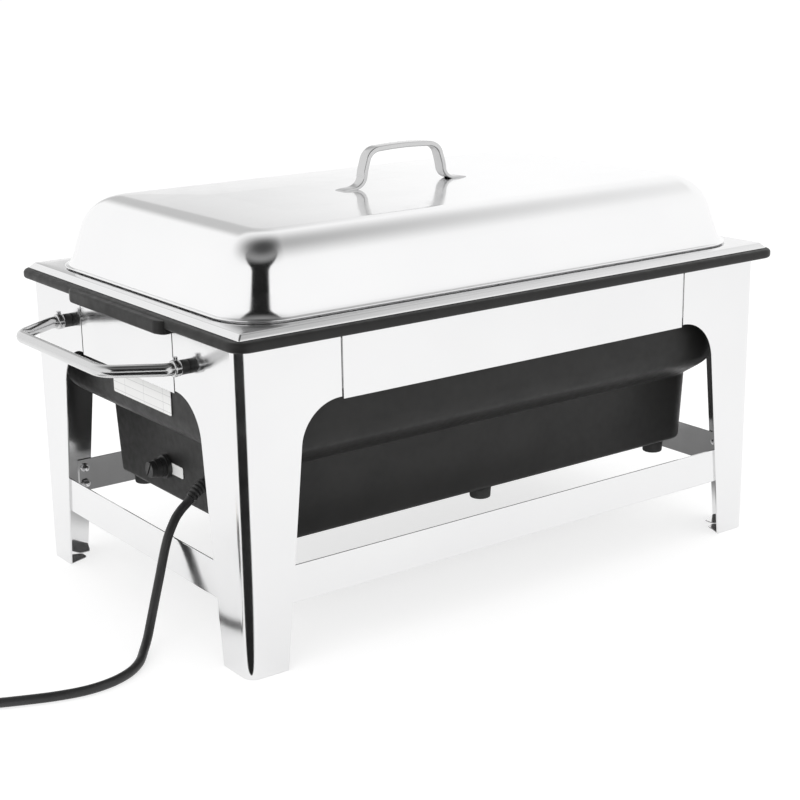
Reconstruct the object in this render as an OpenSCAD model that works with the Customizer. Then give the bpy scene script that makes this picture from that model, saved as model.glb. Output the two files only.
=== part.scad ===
// Electric buffet server: a stainless knock-down stand that carries a black heater
// housing with its water pan, a full-size food pan and a domed lid.
// Millimetres. +X is the long side, +Y the rear, +Z up. The origin is the centre of
// the footprint on the table.

/* [Stand] */
// Length over the leg plates, along X
stand_w = 554; // [552:1:560]
// Depth over the leg plates, along Y
stand_d = 352; // [350:1:358]
// Height of the stand's top edge
stand_h = 262; // [258:1:275]
// Sheet thickness of the legs, aprons and rails
sheet = 1.5; // [1.2:0.1:2]
// Outer bend radius of a leg's corner
bend_r = 10; // [6:1:14]
// Width of a front leg plate at the top, from its corner to the apron seam
panel_w = 92.5; // [90:0.5:105]
// Width of a front leg plate just below its arch
leg_w = 54; // [50:1:60]
// Width of a front leg plate at the floor
foot_w = 36; // [34:1:44]
// How much wider a leg's side plate is than its front plate
side_extra = 3; // [0:0.5:5]
// Height of the aprons' lower edge
apron_z = 210; // [200:1:220]
// Radius of the arch between leg and apron
arch_r = 37; // [30:1:42]
// Height of the rails' lower edge
rail_z = 54; // [40:1:60]
// Height of a rail's face
rail_h = 31; // [26:1:36]

/* [Side handles] */
// Diameter of the handle tube
tube_d = 10; // [9:0.5:12]
// Distance between the two posts of a handle
post_gap = 204; // [190:2:220]
// Height of the handles
handle_z = 236.5; // [232:0.5:244]
// Reach of the tube's centre line beyond the leg plate
handle_reach = 58.5; // [52:0.5:70]
// Radius of the two wide bends of the tube's centre line
handle_bend = 20; // [16:1:26]

/* [Housing] */
// Length of the rim
rim_w = 576; // [572:1:584]
// Depth of the rim
rim_d = 376; // [370:1:386]
// Thickness of the rim
rim_h = 8; // [6:0.5:10]
// Shift of the heater unit along the stand, within its play
unit_x = 4; // [0:0.5:4]
// Wall thickness of the housing
wall = 3; // [2:0.5:4]
// Height of the housing's underside
base_z = 84; // [80:1:90]
// Height at which the shoulder begins
shoulder_z = 148; // [140:1:152]
// Height at which the shoulder ends
upper_z = 170; // [166:1:176]
// Length of the hand grips under the rim's ends
grip_l = 164; // [140:2:190]

/* [Pans and lid] */
// Length of the full-size food pan over its rim
food_w = 530; // [528:1:532]
// Depth of the full-size food pan over its rim
food_d = 325; // [323:1:327]
// Depth of the food pan
food_h = 65; // [40:5:70]
// Height of the lid above the food pan's rim
lid_h = 61; // [50:1:80]
// Slope of the lid's walls, run over rise
lid_draft = 0.3; // [0.1:0.05:0.4]
// Sheet thickness of the pans and the lid
pan_t = 1; // [0.8:0.1:1.2]

/* [Lid handle] */
// Length of the lid handle over its feet
grip_w = 136; // [120:2:160]
// Width of the handle strap
strap_w = 12; // [10:1:20]
// Thickness of the handle strap
strap_t = 4.5; // [3:0.5:6]
// Offset of the handle from the lid's middle, along X
strap_shift = 1; // [-10:1:10]
// Height of the handle above the lid
strap_h = 35; // [30:0.5:50]

/* [Cord] */
// Diameter of the power cord
cord_d = 7.5; // [6:0.5:8]
// Centre of the coil on the table
coil_x = -488; // [-500:1:-480]
// Centre of the coil on the table, along Y
coil_y = -22; // [-30:1:-15]

/* [Hidden] */
$fn = 64;
hull_fn = 32;
slab = 0.01;
half_w = stand_w / 2;
half_d = stand_d / 2;
seam = 1.2;
arch_top = apron_z + 2;
arch_z = arch_top - arch_r;
taper = atan((leg_w - foot_w) / arch_z);
arch_u = leg_w + arch_r / cos(taper);
tab_w = 24;
tab_tip = 10;
tab_l = 20;
lap = 14;
apron_lip = 4;
stud_r = 2;
stud_hole_r = 2.2;
nut_af = 7;
rail_end = 31;
rail_stud_u = 37;
rail_stud_z = [rail_z + 8, rail_z + rail_h - 8];
apron_stud_z = [apron_z + 16, stand_h - 12];
// Side handle fittings
tube_r = tube_d / 2;
post_y = post_gap / 2;
spacer_l = 7;
ferrule_l = 6;
handle_x = half_w + handle_reach;
handle_lean = 33;
neck_bend = 14;
tube_lap = 0.15;
neck_x = half_w + spacer_l + ferrule_l;
lean_x = neck_x + neck_bend * sin(handle_lean);
lean_y = post_y - neck_bend * (1 - cos(handle_lean));
turn_x = handle_x - handle_bend * (1 - sin(handle_lean));
turn_y = lean_y - (turn_x - lean_x) * tan(handle_lean);
grip_y = turn_y - handle_bend * cos(handle_lean);
screw_r = 2.45;
screw_hole_r = 2.6;
// Housing levels
rim_z = stand_h;
rim_top = rim_z + rim_h;
lower_w = 481;
lower_d = 259;
lower_shift = 7;
upper_w = 530;
upper_d = 320;
upper_shift = -1;
left_r = 10;
right_r = 26;
upper_left_r = 14;
upper_right_r = 42;
end_x = lower_shift - lower_w / 2;
foot_x = [-213, -1, 211];
foot_y = 112;
foot_r = 10;
foot_h = 11;
boss_r = 5;
// Water pan
flange_w = 562;
flange_d = 361;
bevel = 4;
flange_h = 5;
flange_top = rim_top + flange_h;
water_w = 511;
water_d = 305;
water_z = upper_z;
pan_screw_x = [-200, -70, 70, 200];
pan_screw_y = 166.5;
pan_stud_x = 120;
pan_stud_y = 60;
// Food pan and lid
food_top = flange_top + pan_t;
food_in_w = food_w - 27;
food_in_d = food_d - 28;
food_z = food_top - food_h;
lid_z = food_top;
lid_w = 530;
lid_d = 324;
lid_rim = 4;
lid_corner = 42;
lid_top = lid_z + lid_h;
lid_wall_h = lid_h * 0.58;
lid_arc_h = lid_h - lid_wall_h;
lid_wall_angle = 90 - atan(lid_draft);
lid_arc_r = lid_arc_h / (1 - cos(lid_wall_angle));
foot_t = 2.4;
// Heater stack, from the water pan's underside down
spreader_t = 3;
spreader_z = water_z - spreader_t;
element_r = 4;
element_z = spreader_z - element_r;
clamp_z = element_z - element_r - 4;
nut_h = 3.2;
shield_z = clamp_z - nut_h - 1;
run_y = 30;
run_x = 175;
// Controls on the left end wall
reset_y = 32;
reset_z = 112;
neck_r = 4.8;
button_r = 2.5;
collar_l = 6;
cap_l = 10;
gland_y = -54;
gland_z = 121;
// Cord route, from the boot's tip to the coil
cord_r = cord_d / 2;
boot_tip = [-254, -55.5, 112.8];
boot_route = [
    [end_x + unit_x - 2.5, gland_y, gland_z],
    [-238, -54, 120.6],
    [-244, -54.4, 119],
    [-249.4, -55, 116.2],
    boot_tip];
cord_route = [
    boot_tip,
    [-258.2, -55.8, 108.9],
    [-264, -56.5, 105],
    [-270, -57.8, 100],
    [-275.4, -60, 94],
    [-280, -61.8, 87.5],
    [-284, -63.2, 79],
    [-287.6, -63.8, 68],
    [-291, -64, 56],
    [-295, -64, 42],
    [-299, -65, 30],
    [-304, -68, 19],
    [-310, -73.6, 10.8],
    [-318.6, -83, 5.6],
    [-330, -97, 3.9],
    [-345, -109, 3.8],
    [-364, -116, 3.8],
    [-385, -117, 3.8],
    [-407, -112, 3.8],
    [-430, -103, 3.8],
    [-454, -92, 3.8],
    [-478, -79.6, 4],
    [-503, -68, 4.8]];
cord_sides = 10;
coil_in = 29;
coil_out = 52;
coil_z = 1;
coil_h = 22.5;
tie_t = 1;
tie_w = 14;
tie_angle = 15;
plug_x = -471;
plug_y = 58;
plug_turn = 45;
plug_w = 46;
plug_l = 50;
plug_h = 20;
plug_back = plug_l / 2 - 1;
plug_entry = [plug_x - plug_back * cos(plug_turn), plug_y - plug_back * sin(plug_turn), plug_h / 2];
coil_exit = [-522, 12, 19.8];

steel = "silver";
black = [0.12, 0.12, 0.12];

// ---- Shared shapes ----

// Rounded rectangle centred on the origin, made of exact lines and arcs.
module rounded_rect(w, d, r) {
    square([w - 2 * r, d], center = true);
    square([w, d - 2 * r], center = true);
    for (x = [-1, 1], y = [-1, 1])
        translate([x * (w / 2 - r), y * (d / 2 - r)]) circle(r = r);
}

// Flat ring between two rounded rectangles.
module ring_plate(w, d, r, in_w, in_d, in_r, h) {
    linear_extrude(h) difference() {
        rounded_rect(w, d, r);
        rounded_rect(in_w, in_d, in_r);
    }
}

// Convex shell through a list of levels, each [x shift, length, depth, radius, height].
module through_levels(levels) {
    hull()
        for (level = levels)
            translate([level[0], 0, level[4]])
                linear_extrude(slab)
                    rounded_rect(level[1], level[2], level[3], $fn = hull_fn);
}

// Levels of a drafted pan whose floor meets its walls in a rounded edge.
function pan_levels(w, d, r, low_w, low_d, low_r, low, high, edge) = concat(
    [for (a = [0 : 22.5 : 90]) [0,
        low_w - 2 * edge * (1 - sin(a)), low_d - 2 * edge * (1 - sin(a)),
        max(low_r - edge * (1 - sin(a)), 4), low + edge * (1 - cos(a))]],
    [[0, w, d, r, high]]);

// The four-way symmetric copies of something modelled at the corner (-X, -Y).
module at_corner(side_x, side_y) {
    mirror([side_x > 0 ? 1 : 0, 0, 0])
        mirror([0, side_y > 0 ? 1 : 0, 0])
            children();
}

module at_all_corners() {
    for (x = [-1, 1], y = [-1, 1]) at_corner(x, y) children();
}

module hex_nut(af, h, hole_r) {
    difference() {
        cylinder(r = af / 2 / cos(30), h = h, $fn = 6);
        translate([0, 0, -1]) cylinder(r = hole_r, h = h + 2);
    }
}

// ---- Stand ----

// Plan outline of one leg: two plates joined by a round bend, corner at the origin.
module angle_outline() {
    translate([bend_r, 0]) square([panel_w - bend_r, sheet]);
    translate([0, bend_r]) square([sheet, panel_w + side_extra - bend_r]);
    intersection() {
        translate([bend_r, bend_r]) difference() {
            circle(r = bend_r);
            circle(r = bend_r - sheet);
        }
        square(bend_r);
    }
}

// What is cut from a leg plate: below the arch and beyond the tapered leg.
module arch_profile() {
    translate([arch_u, arch_z]) circle(r = arch_r);
    polygon([
        [foot_w - tan(taper), -1],
        [arch_u - arch_r * cos(taper), arch_z + arch_r * sin(taper)],
        [arch_u, arch_z + arch_r * sin(taper)],
        [arch_u, -1]]);
    translate([arch_u, -1]) square([panel_w + 1 - arch_u, arch_top + 1]);
}

// Tongue bent inwards at the foot of a leg plate.
module foot_tab() {
    linear_extrude(sheet)
        polygon([
            [foot_w - tab_w, sheet / 2],
            [foot_w - 1, sheet / 2],
            [foot_w - tab_w / 2 + tab_tip / 2, tab_l],
            [foot_w - tab_w / 2 - tab_tip / 2, tab_l]]);
}

// One leg with its corner at the origin and its plates along +X and +Y.
module leg_shape() {
    difference() {
        linear_extrude(stand_h) angle_outline();
        translate([0, leg_w, 0]) rotate([90, 0, 0])
            linear_extrude(leg_w + 1) arch_profile();
        mirror([1, -1, 0]) translate([side_extra, leg_w, 0]) rotate([90, 0, 0])
            linear_extrude(leg_w + 1) arch_profile();
        translate([-1, half_d - post_y, handle_z]) rotate([0, 90, 0])
            cylinder(r = screw_hole_r, h = sheet + 2);
    }
    foot_tab();
    mirror([1, -1, 0]) translate([side_extra, 0, 0]) foot_tab();
}

module leg(side_x, side_y) {
    color(steel) at_corner(side_x, side_y) translate([-half_w, -half_d, 0]) leg_shape();
}

module leg_front_left() { leg(-1, -1); }
module leg_front_right() { leg(1, -1); }
module leg_rear_left() { leg(-1, 1); }
module leg_rear_right() { leg(1, 1); }

// An apron of length l along X, its face on the plane y = 0 and its back towards +Y.
module apron_shape(l) {
    h = stand_h - apron_z;
    difference() {
        union() {
            translate([-l / 2, 0, apron_z]) cube([l, sheet, h]);
            translate([-l / 2, 0, stand_h - sheet]) cube([l, sheet + apron_lip, sheet]);
            for (x = [-1, 1])
                translate([x * l / 2 - lap, sheet, apron_z + 8])
                    cube([2 * lap, sheet, h - 12]);
        }
        for (x = [-1, 1], z = apron_stud_z)
            translate([x * (l / 2 + lap / 2 + seam / 2), -1, z]) rotate([-90, 0, 0])
                cylinder(r = stud_hole_r, h = 3 * sheet + 2);
    }
}

front_l = stand_w - 2 * panel_w - 2 * seam;
side_l = stand_d - 2 * (panel_w + side_extra) - 2 * seam;

module apron_front() { color(steel) translate([0, -half_d, 0]) apron_shape(front_l); }
module apron_rear() { color(steel) rotate(180) translate([0, -half_d, 0]) apron_shape(front_l); }
module apron_left() { color(steel) rotate(-90) translate([0, -half_w, 0]) apron_shape(side_l); }
module apron_right() { color(steel) rotate(90) translate([0, -half_w, 0]) apron_shape(side_l); }

// A lower rail of length l along X, against the back of the leg plates.
module rail_shape(l) {
    difference() {
        translate([-l / 2, sheet, rail_z]) cube([l, sheet, rail_h]);
        for (x = [-1, 1], z = rail_stud_z)
            translate([x * (l / 2 + rail_end - rail_stud_u), 0, z]) rotate([-90, 0, 0])
                cylinder(r = stud_hole_r, h = 3 * sheet);
    }
}

rail_l = stand_w - 2 * rail_end;
side_rail_l = stand_d - 2 * rail_end;

module rail_front() { color(steel) translate([0, -half_d, 0]) rail_shape(rail_l); }
module rail_rear() { color(steel) rotate(180) translate([0, -half_d, 0]) rail_shape(rail_l); }
module rail_left() { color(steel) rotate(-90) translate([0, -half_w, 0]) rail_shape(side_rail_l); }
module rail_right() { color(steel) rotate(90) translate([0, -half_w, 0]) rail_shape(side_rail_l); }

// Puts its children at every stud of one plate set, pointing inwards along +Z.
module at_studs(u, heights, extra = 0) {
    at_all_corners()
        translate([-half_w, -half_d, 0])
            for (flip = [0, 1])
                mirror([flip, -flip, 0])
                    for (z = heights)
                        translate([u + flip * extra, sheet, z]) rotate([-90, 0, 0]) children();
}

apron_stud_u = panel_w - lap / 2 + seam / 2;

module rail_studs() { color(steel) at_studs(rail_stud_u, rail_stud_z) cylinder(r = stud_r, h = 5); }

module rail_nuts() {
    color(steel) at_studs(rail_stud_u, rail_stud_z) translate([0, 0, sheet]) {
        hex_nut(nut_af, 2.4, stud_r + 0.05);
        difference() {
            translate([0, 0, 2.4]) intersection() {
                sphere(r = 3.4);
                cylinder(r = 4, h = 4);
            }
            cylinder(r = stud_r + 0.05, h = 4);
        }
    }
}

module apron_studs() {
    color(steel) at_studs(apron_stud_u, apron_stud_z, side_extra) cylinder(r = stud_r, h = 5);
}

module apron_nuts() {
    color(steel) at_studs(apron_stud_u, apron_stud_z, side_extra)
        translate([0, 0, sheet]) hex_nut(nut_af, nut_h, stud_r + 0.05);
}

// ---- Side handles ----

// Puts its children at each handle post, with +Z pointing away from the leg plate.
module at_posts() {
    for (x = [-1, 1], y = [-1, 1])
        translate([x * half_w, y * post_y, handle_z]) rotate([0, x * 90, 0]) children();
}

// Bend of the tube in the XY plane about a centre, from one angle over another. It is a
// hair thinner than the straight lengths, which reach a little into it.
module tube_bend(x, y, r, from, angle) {
    translate([x, y, 0]) rotate(from)
        rotate_extrude(angle = angle) translate([r, 0]) circle(r = tube_r - 0.03);
}

// The half of a handle on the +Y side: straight neck, leaning arm, wide bend.
module handle_arm() {
    translate([half_w + spacer_l, post_y, 0]) rotate([0, 90, 0])
        cylinder(r = tube_r, h = ferrule_l + tube_lap);
    tube_bend(neck_x, post_y - neck_bend, neck_bend, 90 - handle_lean, handle_lean);
    translate([lean_x, lean_y, 0]) rotate([0, 90, -handle_lean]) translate([0, 0, -tube_lap])
        cylinder(r = tube_r, h = (turn_x - lean_x) / cos(handle_lean) + 2 * tube_lap);
    tube_bend(handle_x - handle_bend, grip_y, handle_bend, 0, 90 - handle_lean);
}

module side_handle() {
    color(steel) translate([0, 0, handle_z]) difference() {
        union() {
            handle_arm();
            mirror([0, 1, 0]) handle_arm();
            translate([handle_x, -grip_y - tube_lap, 0]) rotate([-90, 0, 0])
                cylinder(r = tube_r, h = 2 * (grip_y + tube_lap));
        }
        for (y = [-1, 1])
            translate([half_w + spacer_l - 1, y * post_y, 0]) rotate([0, 90, 0])
                cylinder(r = screw_r + 0.05, h = 7.5);
    }
}

module handle_right() { side_handle(); }
module handle_left() { mirror([1, 0, 0]) side_handle(); }

module handle_ferrules() {
    color(steel) at_posts() translate([0, 0, spacer_l]) difference() {
        cylinder(r = tube_r + 1.6, h = ferrule_l);
        translate([0, 0, -1]) cylinder(r = tube_r + 0.02, h = ferrule_l + 2);
        for (side = [-90, 90])
            translate([0, 0, ferrule_l / 2]) rotate([0, side, 0]) cylinder(r = 1.3, h = 12);
    }
}

// The ferrules are locked on the tube from above; the hole below is their drain.
module handle_grub_screws() {
    color(steel) for (x = [-1, 1], y = [-1, 1])
        translate([x * (half_w + spacer_l + ferrule_l / 2), y * post_y, handle_z + tube_r + 0.02]) {
            cylinder(r = 1.25, h = 2.2);
            translate([0, 0, 1.9]) cylinder(r = 2, h = 2);
        }
}

module handle_spacers() {
    color(black) at_posts() difference() {
        cylinder(r = tube_r + 0.8, h = spacer_l);
        translate([0, 0, -1]) cylinder(r = screw_hole_r, h = spacer_l + 2);
    }
}

module handle_screws() {
    color(steel) at_posts() {
        translate([0, 0, -sheet]) cylinder(r = screw_r, h = sheet + spacer_l + 6);
        translate([0, 0, -sheet - 2.6]) cylinder(r = 4.2, h = 2.6);
    }
}

// ---- Housing ----

// The heater unit's own frame: it hangs in the stand by its rim.
module unit() {
    translate([unit_x, 0, 0]) children();
}

// Rectangle with one corner radius at its left end and another at its right end.
module end_rect(w, d, r_left, r_right) {
    translate([-w / 2 + r_left, -d / 2]) square([w - r_left - r_right, d]);
    translate([-w / 2, -d / 2 + r_left]) square([w / 2, d - 2 * r_left]);
    translate([0, -d / 2 + r_right]) square([w / 2, d - 2 * r_right]);
    for (y = [-1, 1]) {
        translate([-w / 2 + r_left, y * (d / 2 - r_left)]) circle(r = r_left);
        translate([w / 2 - r_right, y * (d / 2 - r_right)]) circle(r = r_right);
    }
}

// Convex shell through levels [x shift, length, depth, left radius, right radius, height].
module housing_levels(levels) {
    hull()
        for (level = levels)
            translate([level[0], 0, level[5]])
                linear_extrude(slab)
                    end_rect(level[1], level[2], level[3], level[4], $fn = hull_fn);
}

// Levels of the housing's lower box, drawn in by inset on every side.
function lower_levels(inset, low) = [
    [lower_shift, lower_w - 12 - 2 * inset, lower_d - 11 - 2 * inset, left_r - 3, right_r - 3, low],
    [lower_shift, lower_w - 6 - 2 * inset, lower_d - 5 - 2 * inset, left_r - 1, right_r, base_z + 4],
    [lower_shift, lower_w - 2 * inset, lower_d - 2 * inset, left_r, right_r, shoulder_z + 2]];

// Levels of the shoulder and the wide upper part.
function upper_levels(inset, high) = [
    [lower_shift, lower_w - 2 * inset, lower_d - 2 * inset, left_r, right_r, shoulder_z],
    [upper_shift + 2, upper_w - 20 - 2 * inset, upper_d - 20 - 2 * inset,
        upper_left_r - 1, upper_right_r - 4, upper_z - 8],
    [upper_shift, upper_w - 5 - 2 * inset, upper_d - 5 - 2 * inset,
        upper_left_r, upper_right_r, upper_z - 1],
    [upper_shift, upper_w - 2 * inset, upper_d - 2 * inset, upper_left_r, upper_right_r, upper_z + 7],
    [upper_shift, upper_w + 2 - 2 * inset, upper_d + 4 - 2 * inset,
        upper_left_r, upper_right_r, high]];

// Hand grip: a thicker ledge that hangs in front of the stand's end apron.
module hand_grip() {
    lip = 5;
    translate([0, 0, rim_z - 4])
        linear_extrude(rim_h + 3)
            polygon([
                [rim_w / 2 - 6, -grip_l / 2],
                [rim_w / 2, -grip_l / 2],
                [rim_w / 2 + lip, -grip_l / 2 + 8],
                [rim_w / 2 + lip, grip_l / 2 - 8],
                [rim_w / 2, grip_l / 2],
                [rim_w / 2 - 6, grip_l / 2]]);
}

module outer_housing() {
    color(black) unit() {
        difference() {
            union() {
                housing_levels(lower_levels(0, base_z));
                housing_levels(upper_levels(0, rim_z + 1));
                translate([0, 0, rim_z]) linear_extrude(rim_h - 1.5) rounded_rect(rim_w, rim_d, 15);
                translate([0, 0, rim_z]) linear_extrude(rim_h) rounded_rect(rim_w - 3, rim_d - 3, 13.5);
            }
            housing_levels(lower_levels(wall, base_z - 1));
            housing_levels(upper_levels(wall, rim_top + 1));
            translate([end_x - 20, reset_y, reset_z]) rotate([0, 90, 0]) cylinder(r = 5, h = 40);
            translate([end_x - 20, gland_y, gland_z]) rotate([0, 90, 0]) cylinder(r = 6, h = 40);
            for (x = pan_screw_x, y = [-pan_screw_y, pan_screw_y])
                translate([x, y, rim_z - 1]) cylinder(r = 2.2, h = rim_h + 2);
        }
        hand_grip();
        mirror([1, 0, 0]) hand_grip();
        screw_bosses();
    }
}

// Bosses that take the base screws, each tied to the nearest long wall by a rib.
module screw_bosses() {
    for (x = foot_x, y = [-1, 1])
        translate([x, y * foot_y, base_z + 4]) difference() {
            union() {
                cylinder(r = boss_r, h = 26);
                translate([-1.5, y > 0 ? 2 : -14, 0]) cube([3, 12, 26]);
            }
            translate([0, 0, -1]) cylinder(r = 1.55, h = 18);
        }
}

module base_cover() {
    color(black) unit() translate([lower_shift, 0, base_z]) difference() {
        linear_extrude(4)
            end_rect(lower_w - 14 - 2 * wall, lower_d - 13 - 2 * wall, left_r - 4, right_r - 4);
        for (x = foot_x, y = [-foot_y, foot_y])
            translate([x - lower_shift, y, -1]) cylinder(r = 1.8, h = 6);
    }
}

module at_feet() {
    for (x = foot_x, y = [-foot_y, foot_y]) translate([x, y, base_z]) children();
}

module housing_feet() {
    color(black) unit() at_feet() translate([0, 0, -foot_h]) difference() {
        cylinder(r = foot_r, h = foot_h);
        translate([0, 0, -1]) cylinder(r = 1.8, h = foot_h + 2);
        translate([0, 0, -1]) cylinder(r = 4, h = 5);
    }
}

module base_screws() {
    color(steel) unit() at_feet() {
        translate([0, 0, -foot_h + 4]) cylinder(r = 1.5, h = foot_h + 14);
        translate([0, 0, -foot_h + 1.8]) cylinder(r = 3.2, h = 2.2);
    }
}

// ---- Water pan and heater ----

module water_pan() {
    color(steel) unit() {
        difference() {
            through_levels([[0, flange_w, flange_d, 3, rim_top],
                [0, flange_w - 2 * bevel, flange_d - 2 * bevel, 2, flange_top - slab]]);
            through_levels([[0, flange_w - 2 * pan_t, flange_d - 2 * pan_t, 2, rim_top - slab],
                [0, flange_w - 2 * bevel - 2 * pan_t, flange_d - 2 * bevel - 2 * pan_t, 1,
                    flange_top - pan_t]]);
            translate([0, 0, rim_top - 1])
                linear_extrude(flange_h + 2) rounded_rect(water_w, water_d, 44);
        }
        difference() {
            through_levels(pan_levels(water_w + 2 * pan_t, water_d + 2 * pan_t, 45,
                water_w - 16, water_d - 16, 40, water_z, flange_top - slab, 14));
            through_levels(pan_levels(water_w, water_d, 44,
                water_w - 16 - 2 * pan_t, water_d - 16 - 2 * pan_t, 39,
                water_z + pan_t, flange_top + 1, 13));
        }
    }
}

module pan_gasket() {
    color([0.75, 0.72, 0.68]) unit() translate([0, 0, rim_top])
        ring_plate(flange_w - 2 * bevel - 2 * pan_t - 3, flange_d - 2 * bevel - 2 * pan_t - 3, 4,
            flange_w - 2 * bevel - 13, flange_d - 2 * bevel - 13, 3, flange_h - pan_t);
}

module at_pan_screws() {
    for (x = pan_screw_x, y = [-pan_screw_y, pan_screw_y]) translate([x, y, rim_z]) children();
}

module pan_screws() {
    color(steel) unit() at_pan_screws() {
        translate([0, 0, -2.5]) cylinder(r = 3.4, h = 2.5);
        cylinder(r = stud_r, h = rim_h + flange_h - pan_t);
    }
}

module pan_nuts() {
    color(steel) unit() at_pan_screws()
        translate([0, 0, rim_h + flange_h - pan_t - 3]) hex_nut(nut_af, 3, stud_r + 0.05);
}

module at_pan_studs() {
    for (x = [-pan_stud_x, pan_stud_x], y = [-pan_stud_y, pan_stud_y]) translate([x, y, 0]) children();
}

module pan_studs() {
    color(steel) unit() at_pan_studs()
        translate([0, 0, shield_z - nut_h - 2]) cylinder(r = 2.5, h = water_z - shield_z + nut_h + 2);
}

module heat_spreader() {
    color("gainsboro") unit() difference() {
        translate([0, 0, spreader_z]) linear_extrude(spreader_t) rounded_rect(430, 220, 20);
        at_pan_studs() cylinder(r = 2.7, h = 300);
    }
}

module element_turn(x, y, angle) {
    translate([x, y, element_z]) rotate(angle)
        rotate_extrude(angle = 180) translate([run_y, 0]) circle(r = element_r);
}

module element_run(y, x_low, x_high) {
    translate([x_low, y, element_z]) rotate([0, 90, 0]) cylinder(r = element_r, h = x_high - x_low);
}

// Tubular element with four runs; both cold ends turn down through the heat shield.
module heating_element() {
    color([0.35, 0.33, 0.32]) unit() {
        for (y = [-1, 1]) {
            element_run(y * 3 * run_y, -run_x, run_x);
            element_run(y * run_y, -run_x + 45, run_x);
            element_turn(run_x, y * 2 * run_y, -90);
            translate([-run_x, y * 3 * run_y, element_z - 15]) rotate([90, 0, 180])
                rotate_extrude(angle = 90) translate([15, 0]) circle(r = element_r);
            translate([-run_x - 15, y * 3 * run_y, element_z - 31]) cylinder(r = element_r, h = 16);
        }
        element_turn(-run_x + 45, 0, 90);
    }
}

module element_clamps() {
    color("gainsboro") unit() for (x = [-pan_stud_x, pan_stud_x])
        difference() {
            translate([x - 10, -105, clamp_z]) cube([20, 210, 4]);
            at_pan_studs() translate([0, 0, clamp_z - 1]) cylinder(r = 2.7, h = 6);
        }
}

module clamp_nuts() {
    color(steel) unit() at_pan_studs() {
        translate([0, 0, clamp_z - nut_h]) hex_nut(8, nut_h, 2.55);
        translate([0, 0, shield_z - nut_h]) hex_nut(8, nut_h, 2.55);
    }
}

module heat_shield() {
    color("lightgrey") unit() difference() {
        translate([lower_shift - 6, 0, shield_z]) linear_extrude(1) rounded_rect(444, 236, 16);
        at_pan_studs() translate([0, 0, shield_z - 1]) cylinder(r = 2.7, h = 3);
        for (y = [-1, 1])
            translate([-run_x - 15, y * 3 * run_y, shield_z - 1]) cylinder(r = 5.5, h = 3);
        translate([0, 0, shield_z - 1]) cylinder(r = 9, h = 3);
    }
}

// Snap-disc thermostat that presses against the heat spreader.
module thermostat() {
    color([0.85, 0.8, 0.7]) unit() translate([0, 0, spreader_z - 7]) {
        cylinder(r = 8, h = 7);
        translate([0, 0, -5]) cylinder(r = 6, h = 5);
        for (x = [-1, 1]) translate([x * 4 - 0.4, -3, -8.2]) cube([0.8, 6, 4]);
    }
}

// ---- Controls on the left end ----

module thermal_cutout() {
    color([0.85, 0.8, 0.7]) unit() difference() {
        union() {
            translate([end_x + wall + 3, reset_y - 13, reset_z - 12]) cube([26, 26, 24]);
            translate([end_x - 9.5, reset_y, reset_z]) rotate([0, 90, 0])
                cylinder(r = neck_r, h = 9.5 + wall + 5);
            for (z = [-6, 6])
                translate([end_x + wall + 28, reset_y - 3, reset_z + z - 0.4]) cube([8, 6, 0.8]);
        }
        translate([end_x - 11, reset_y, reset_z]) rotate([0, 90, 0]) cylinder(r = button_r + 0.3, h = 16);
    }
}

module reset_button() {
    color("red") unit() translate([end_x - 12.5, reset_y, reset_z]) rotate([0, 90, 0])
        cylinder(r = button_r, h = 14);
}

module reset_collar() {
    color(black) unit() translate([end_x - collar_l, reset_y, reset_z]) rotate([0, 90, 0])
        difference() {
            union() {
                cylinder(r = 8.5, h = collar_l + 1);
                translate([0, 0, collar_l - 3]) cylinder(r = 10.5, h = 3.7);
            }
            translate([0, 0, -1]) cylinder(r = neck_r + 0.1, h = collar_l + 3);
        }
}

// Screw cap over the reset button, with a coin slot across its face.
module reset_cap() {
    cap_x = end_x - collar_l - 0.3 - cap_l;
    color(black) unit() translate([cap_x, reset_y, reset_z]) rotate([0, 90, 0])
        difference() {
            union() {
                cylinder(r = 7, h = cap_l);
                translate([0, 0, cap_l - 5]) cylinder(r = 8, h = 5);
            }
            translate([0, 0, 2]) cylinder(r = neck_r + 0.4, h = cap_l);
            rotate(30) translate([-8, -0.8, -1]) cube([16, 1.6, 2]);
        }
}

module reset_label() {
    color("white") unit() translate([end_x + 1, reset_y - 28, reset_z - 5]) cube([0.5, 21.5, 10]);
}

module rating_label() {
    color("white") unit() translate([upper_shift - upper_w / 2 - 0.95, -46, 181]) cube([0.5, 100, 27]);
}

module terminal_block() {
    color("ivory") unit() difference() {
        translate([-165, -80, base_z + 8]) cube([44, 22, 18]);
        for (x = [-158, -143, -128], y = [-76, -62])
            translate([x, y, base_z + 12]) cylinder(r = 2, h = 20);
    }
}

// ---- Tubes along a route ----

function spline(a, b, c, d, t) =
    0.5 * (2 * b + (c - a) * t + (2 * a - 5 * b + 4 * c - d) * t * t
        + (3 * b - 3 * c + d - a) * t * t * t);

// Points along a smooth curve through the route, with a number of steps per stretch.
function smooth(route, steps) = concat(
    [for (i = [0 : len(route) - 2])
        let (before = route[max(i - 1, 0)], after = route[min(i + 2, len(route) - 1)])
        for (s = [0 : steps - 1])
            spline(before, route[i], route[i + 1], after, s / steps)],
    [route[len(route) - 1]]);

function unit(v) = v / norm(v);

// Ring of points around one place on the curve.
function tube_ring(p, t, r, sides) =
    let (
        side = unit(cross(t, [0, 1, 0.1])),
        up = cross(side, t))
    [for (k = [0 : sides - 1])
        p + r * (cos(360 * k / sides) * side + sin(360 * k / sides) * up)];

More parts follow.
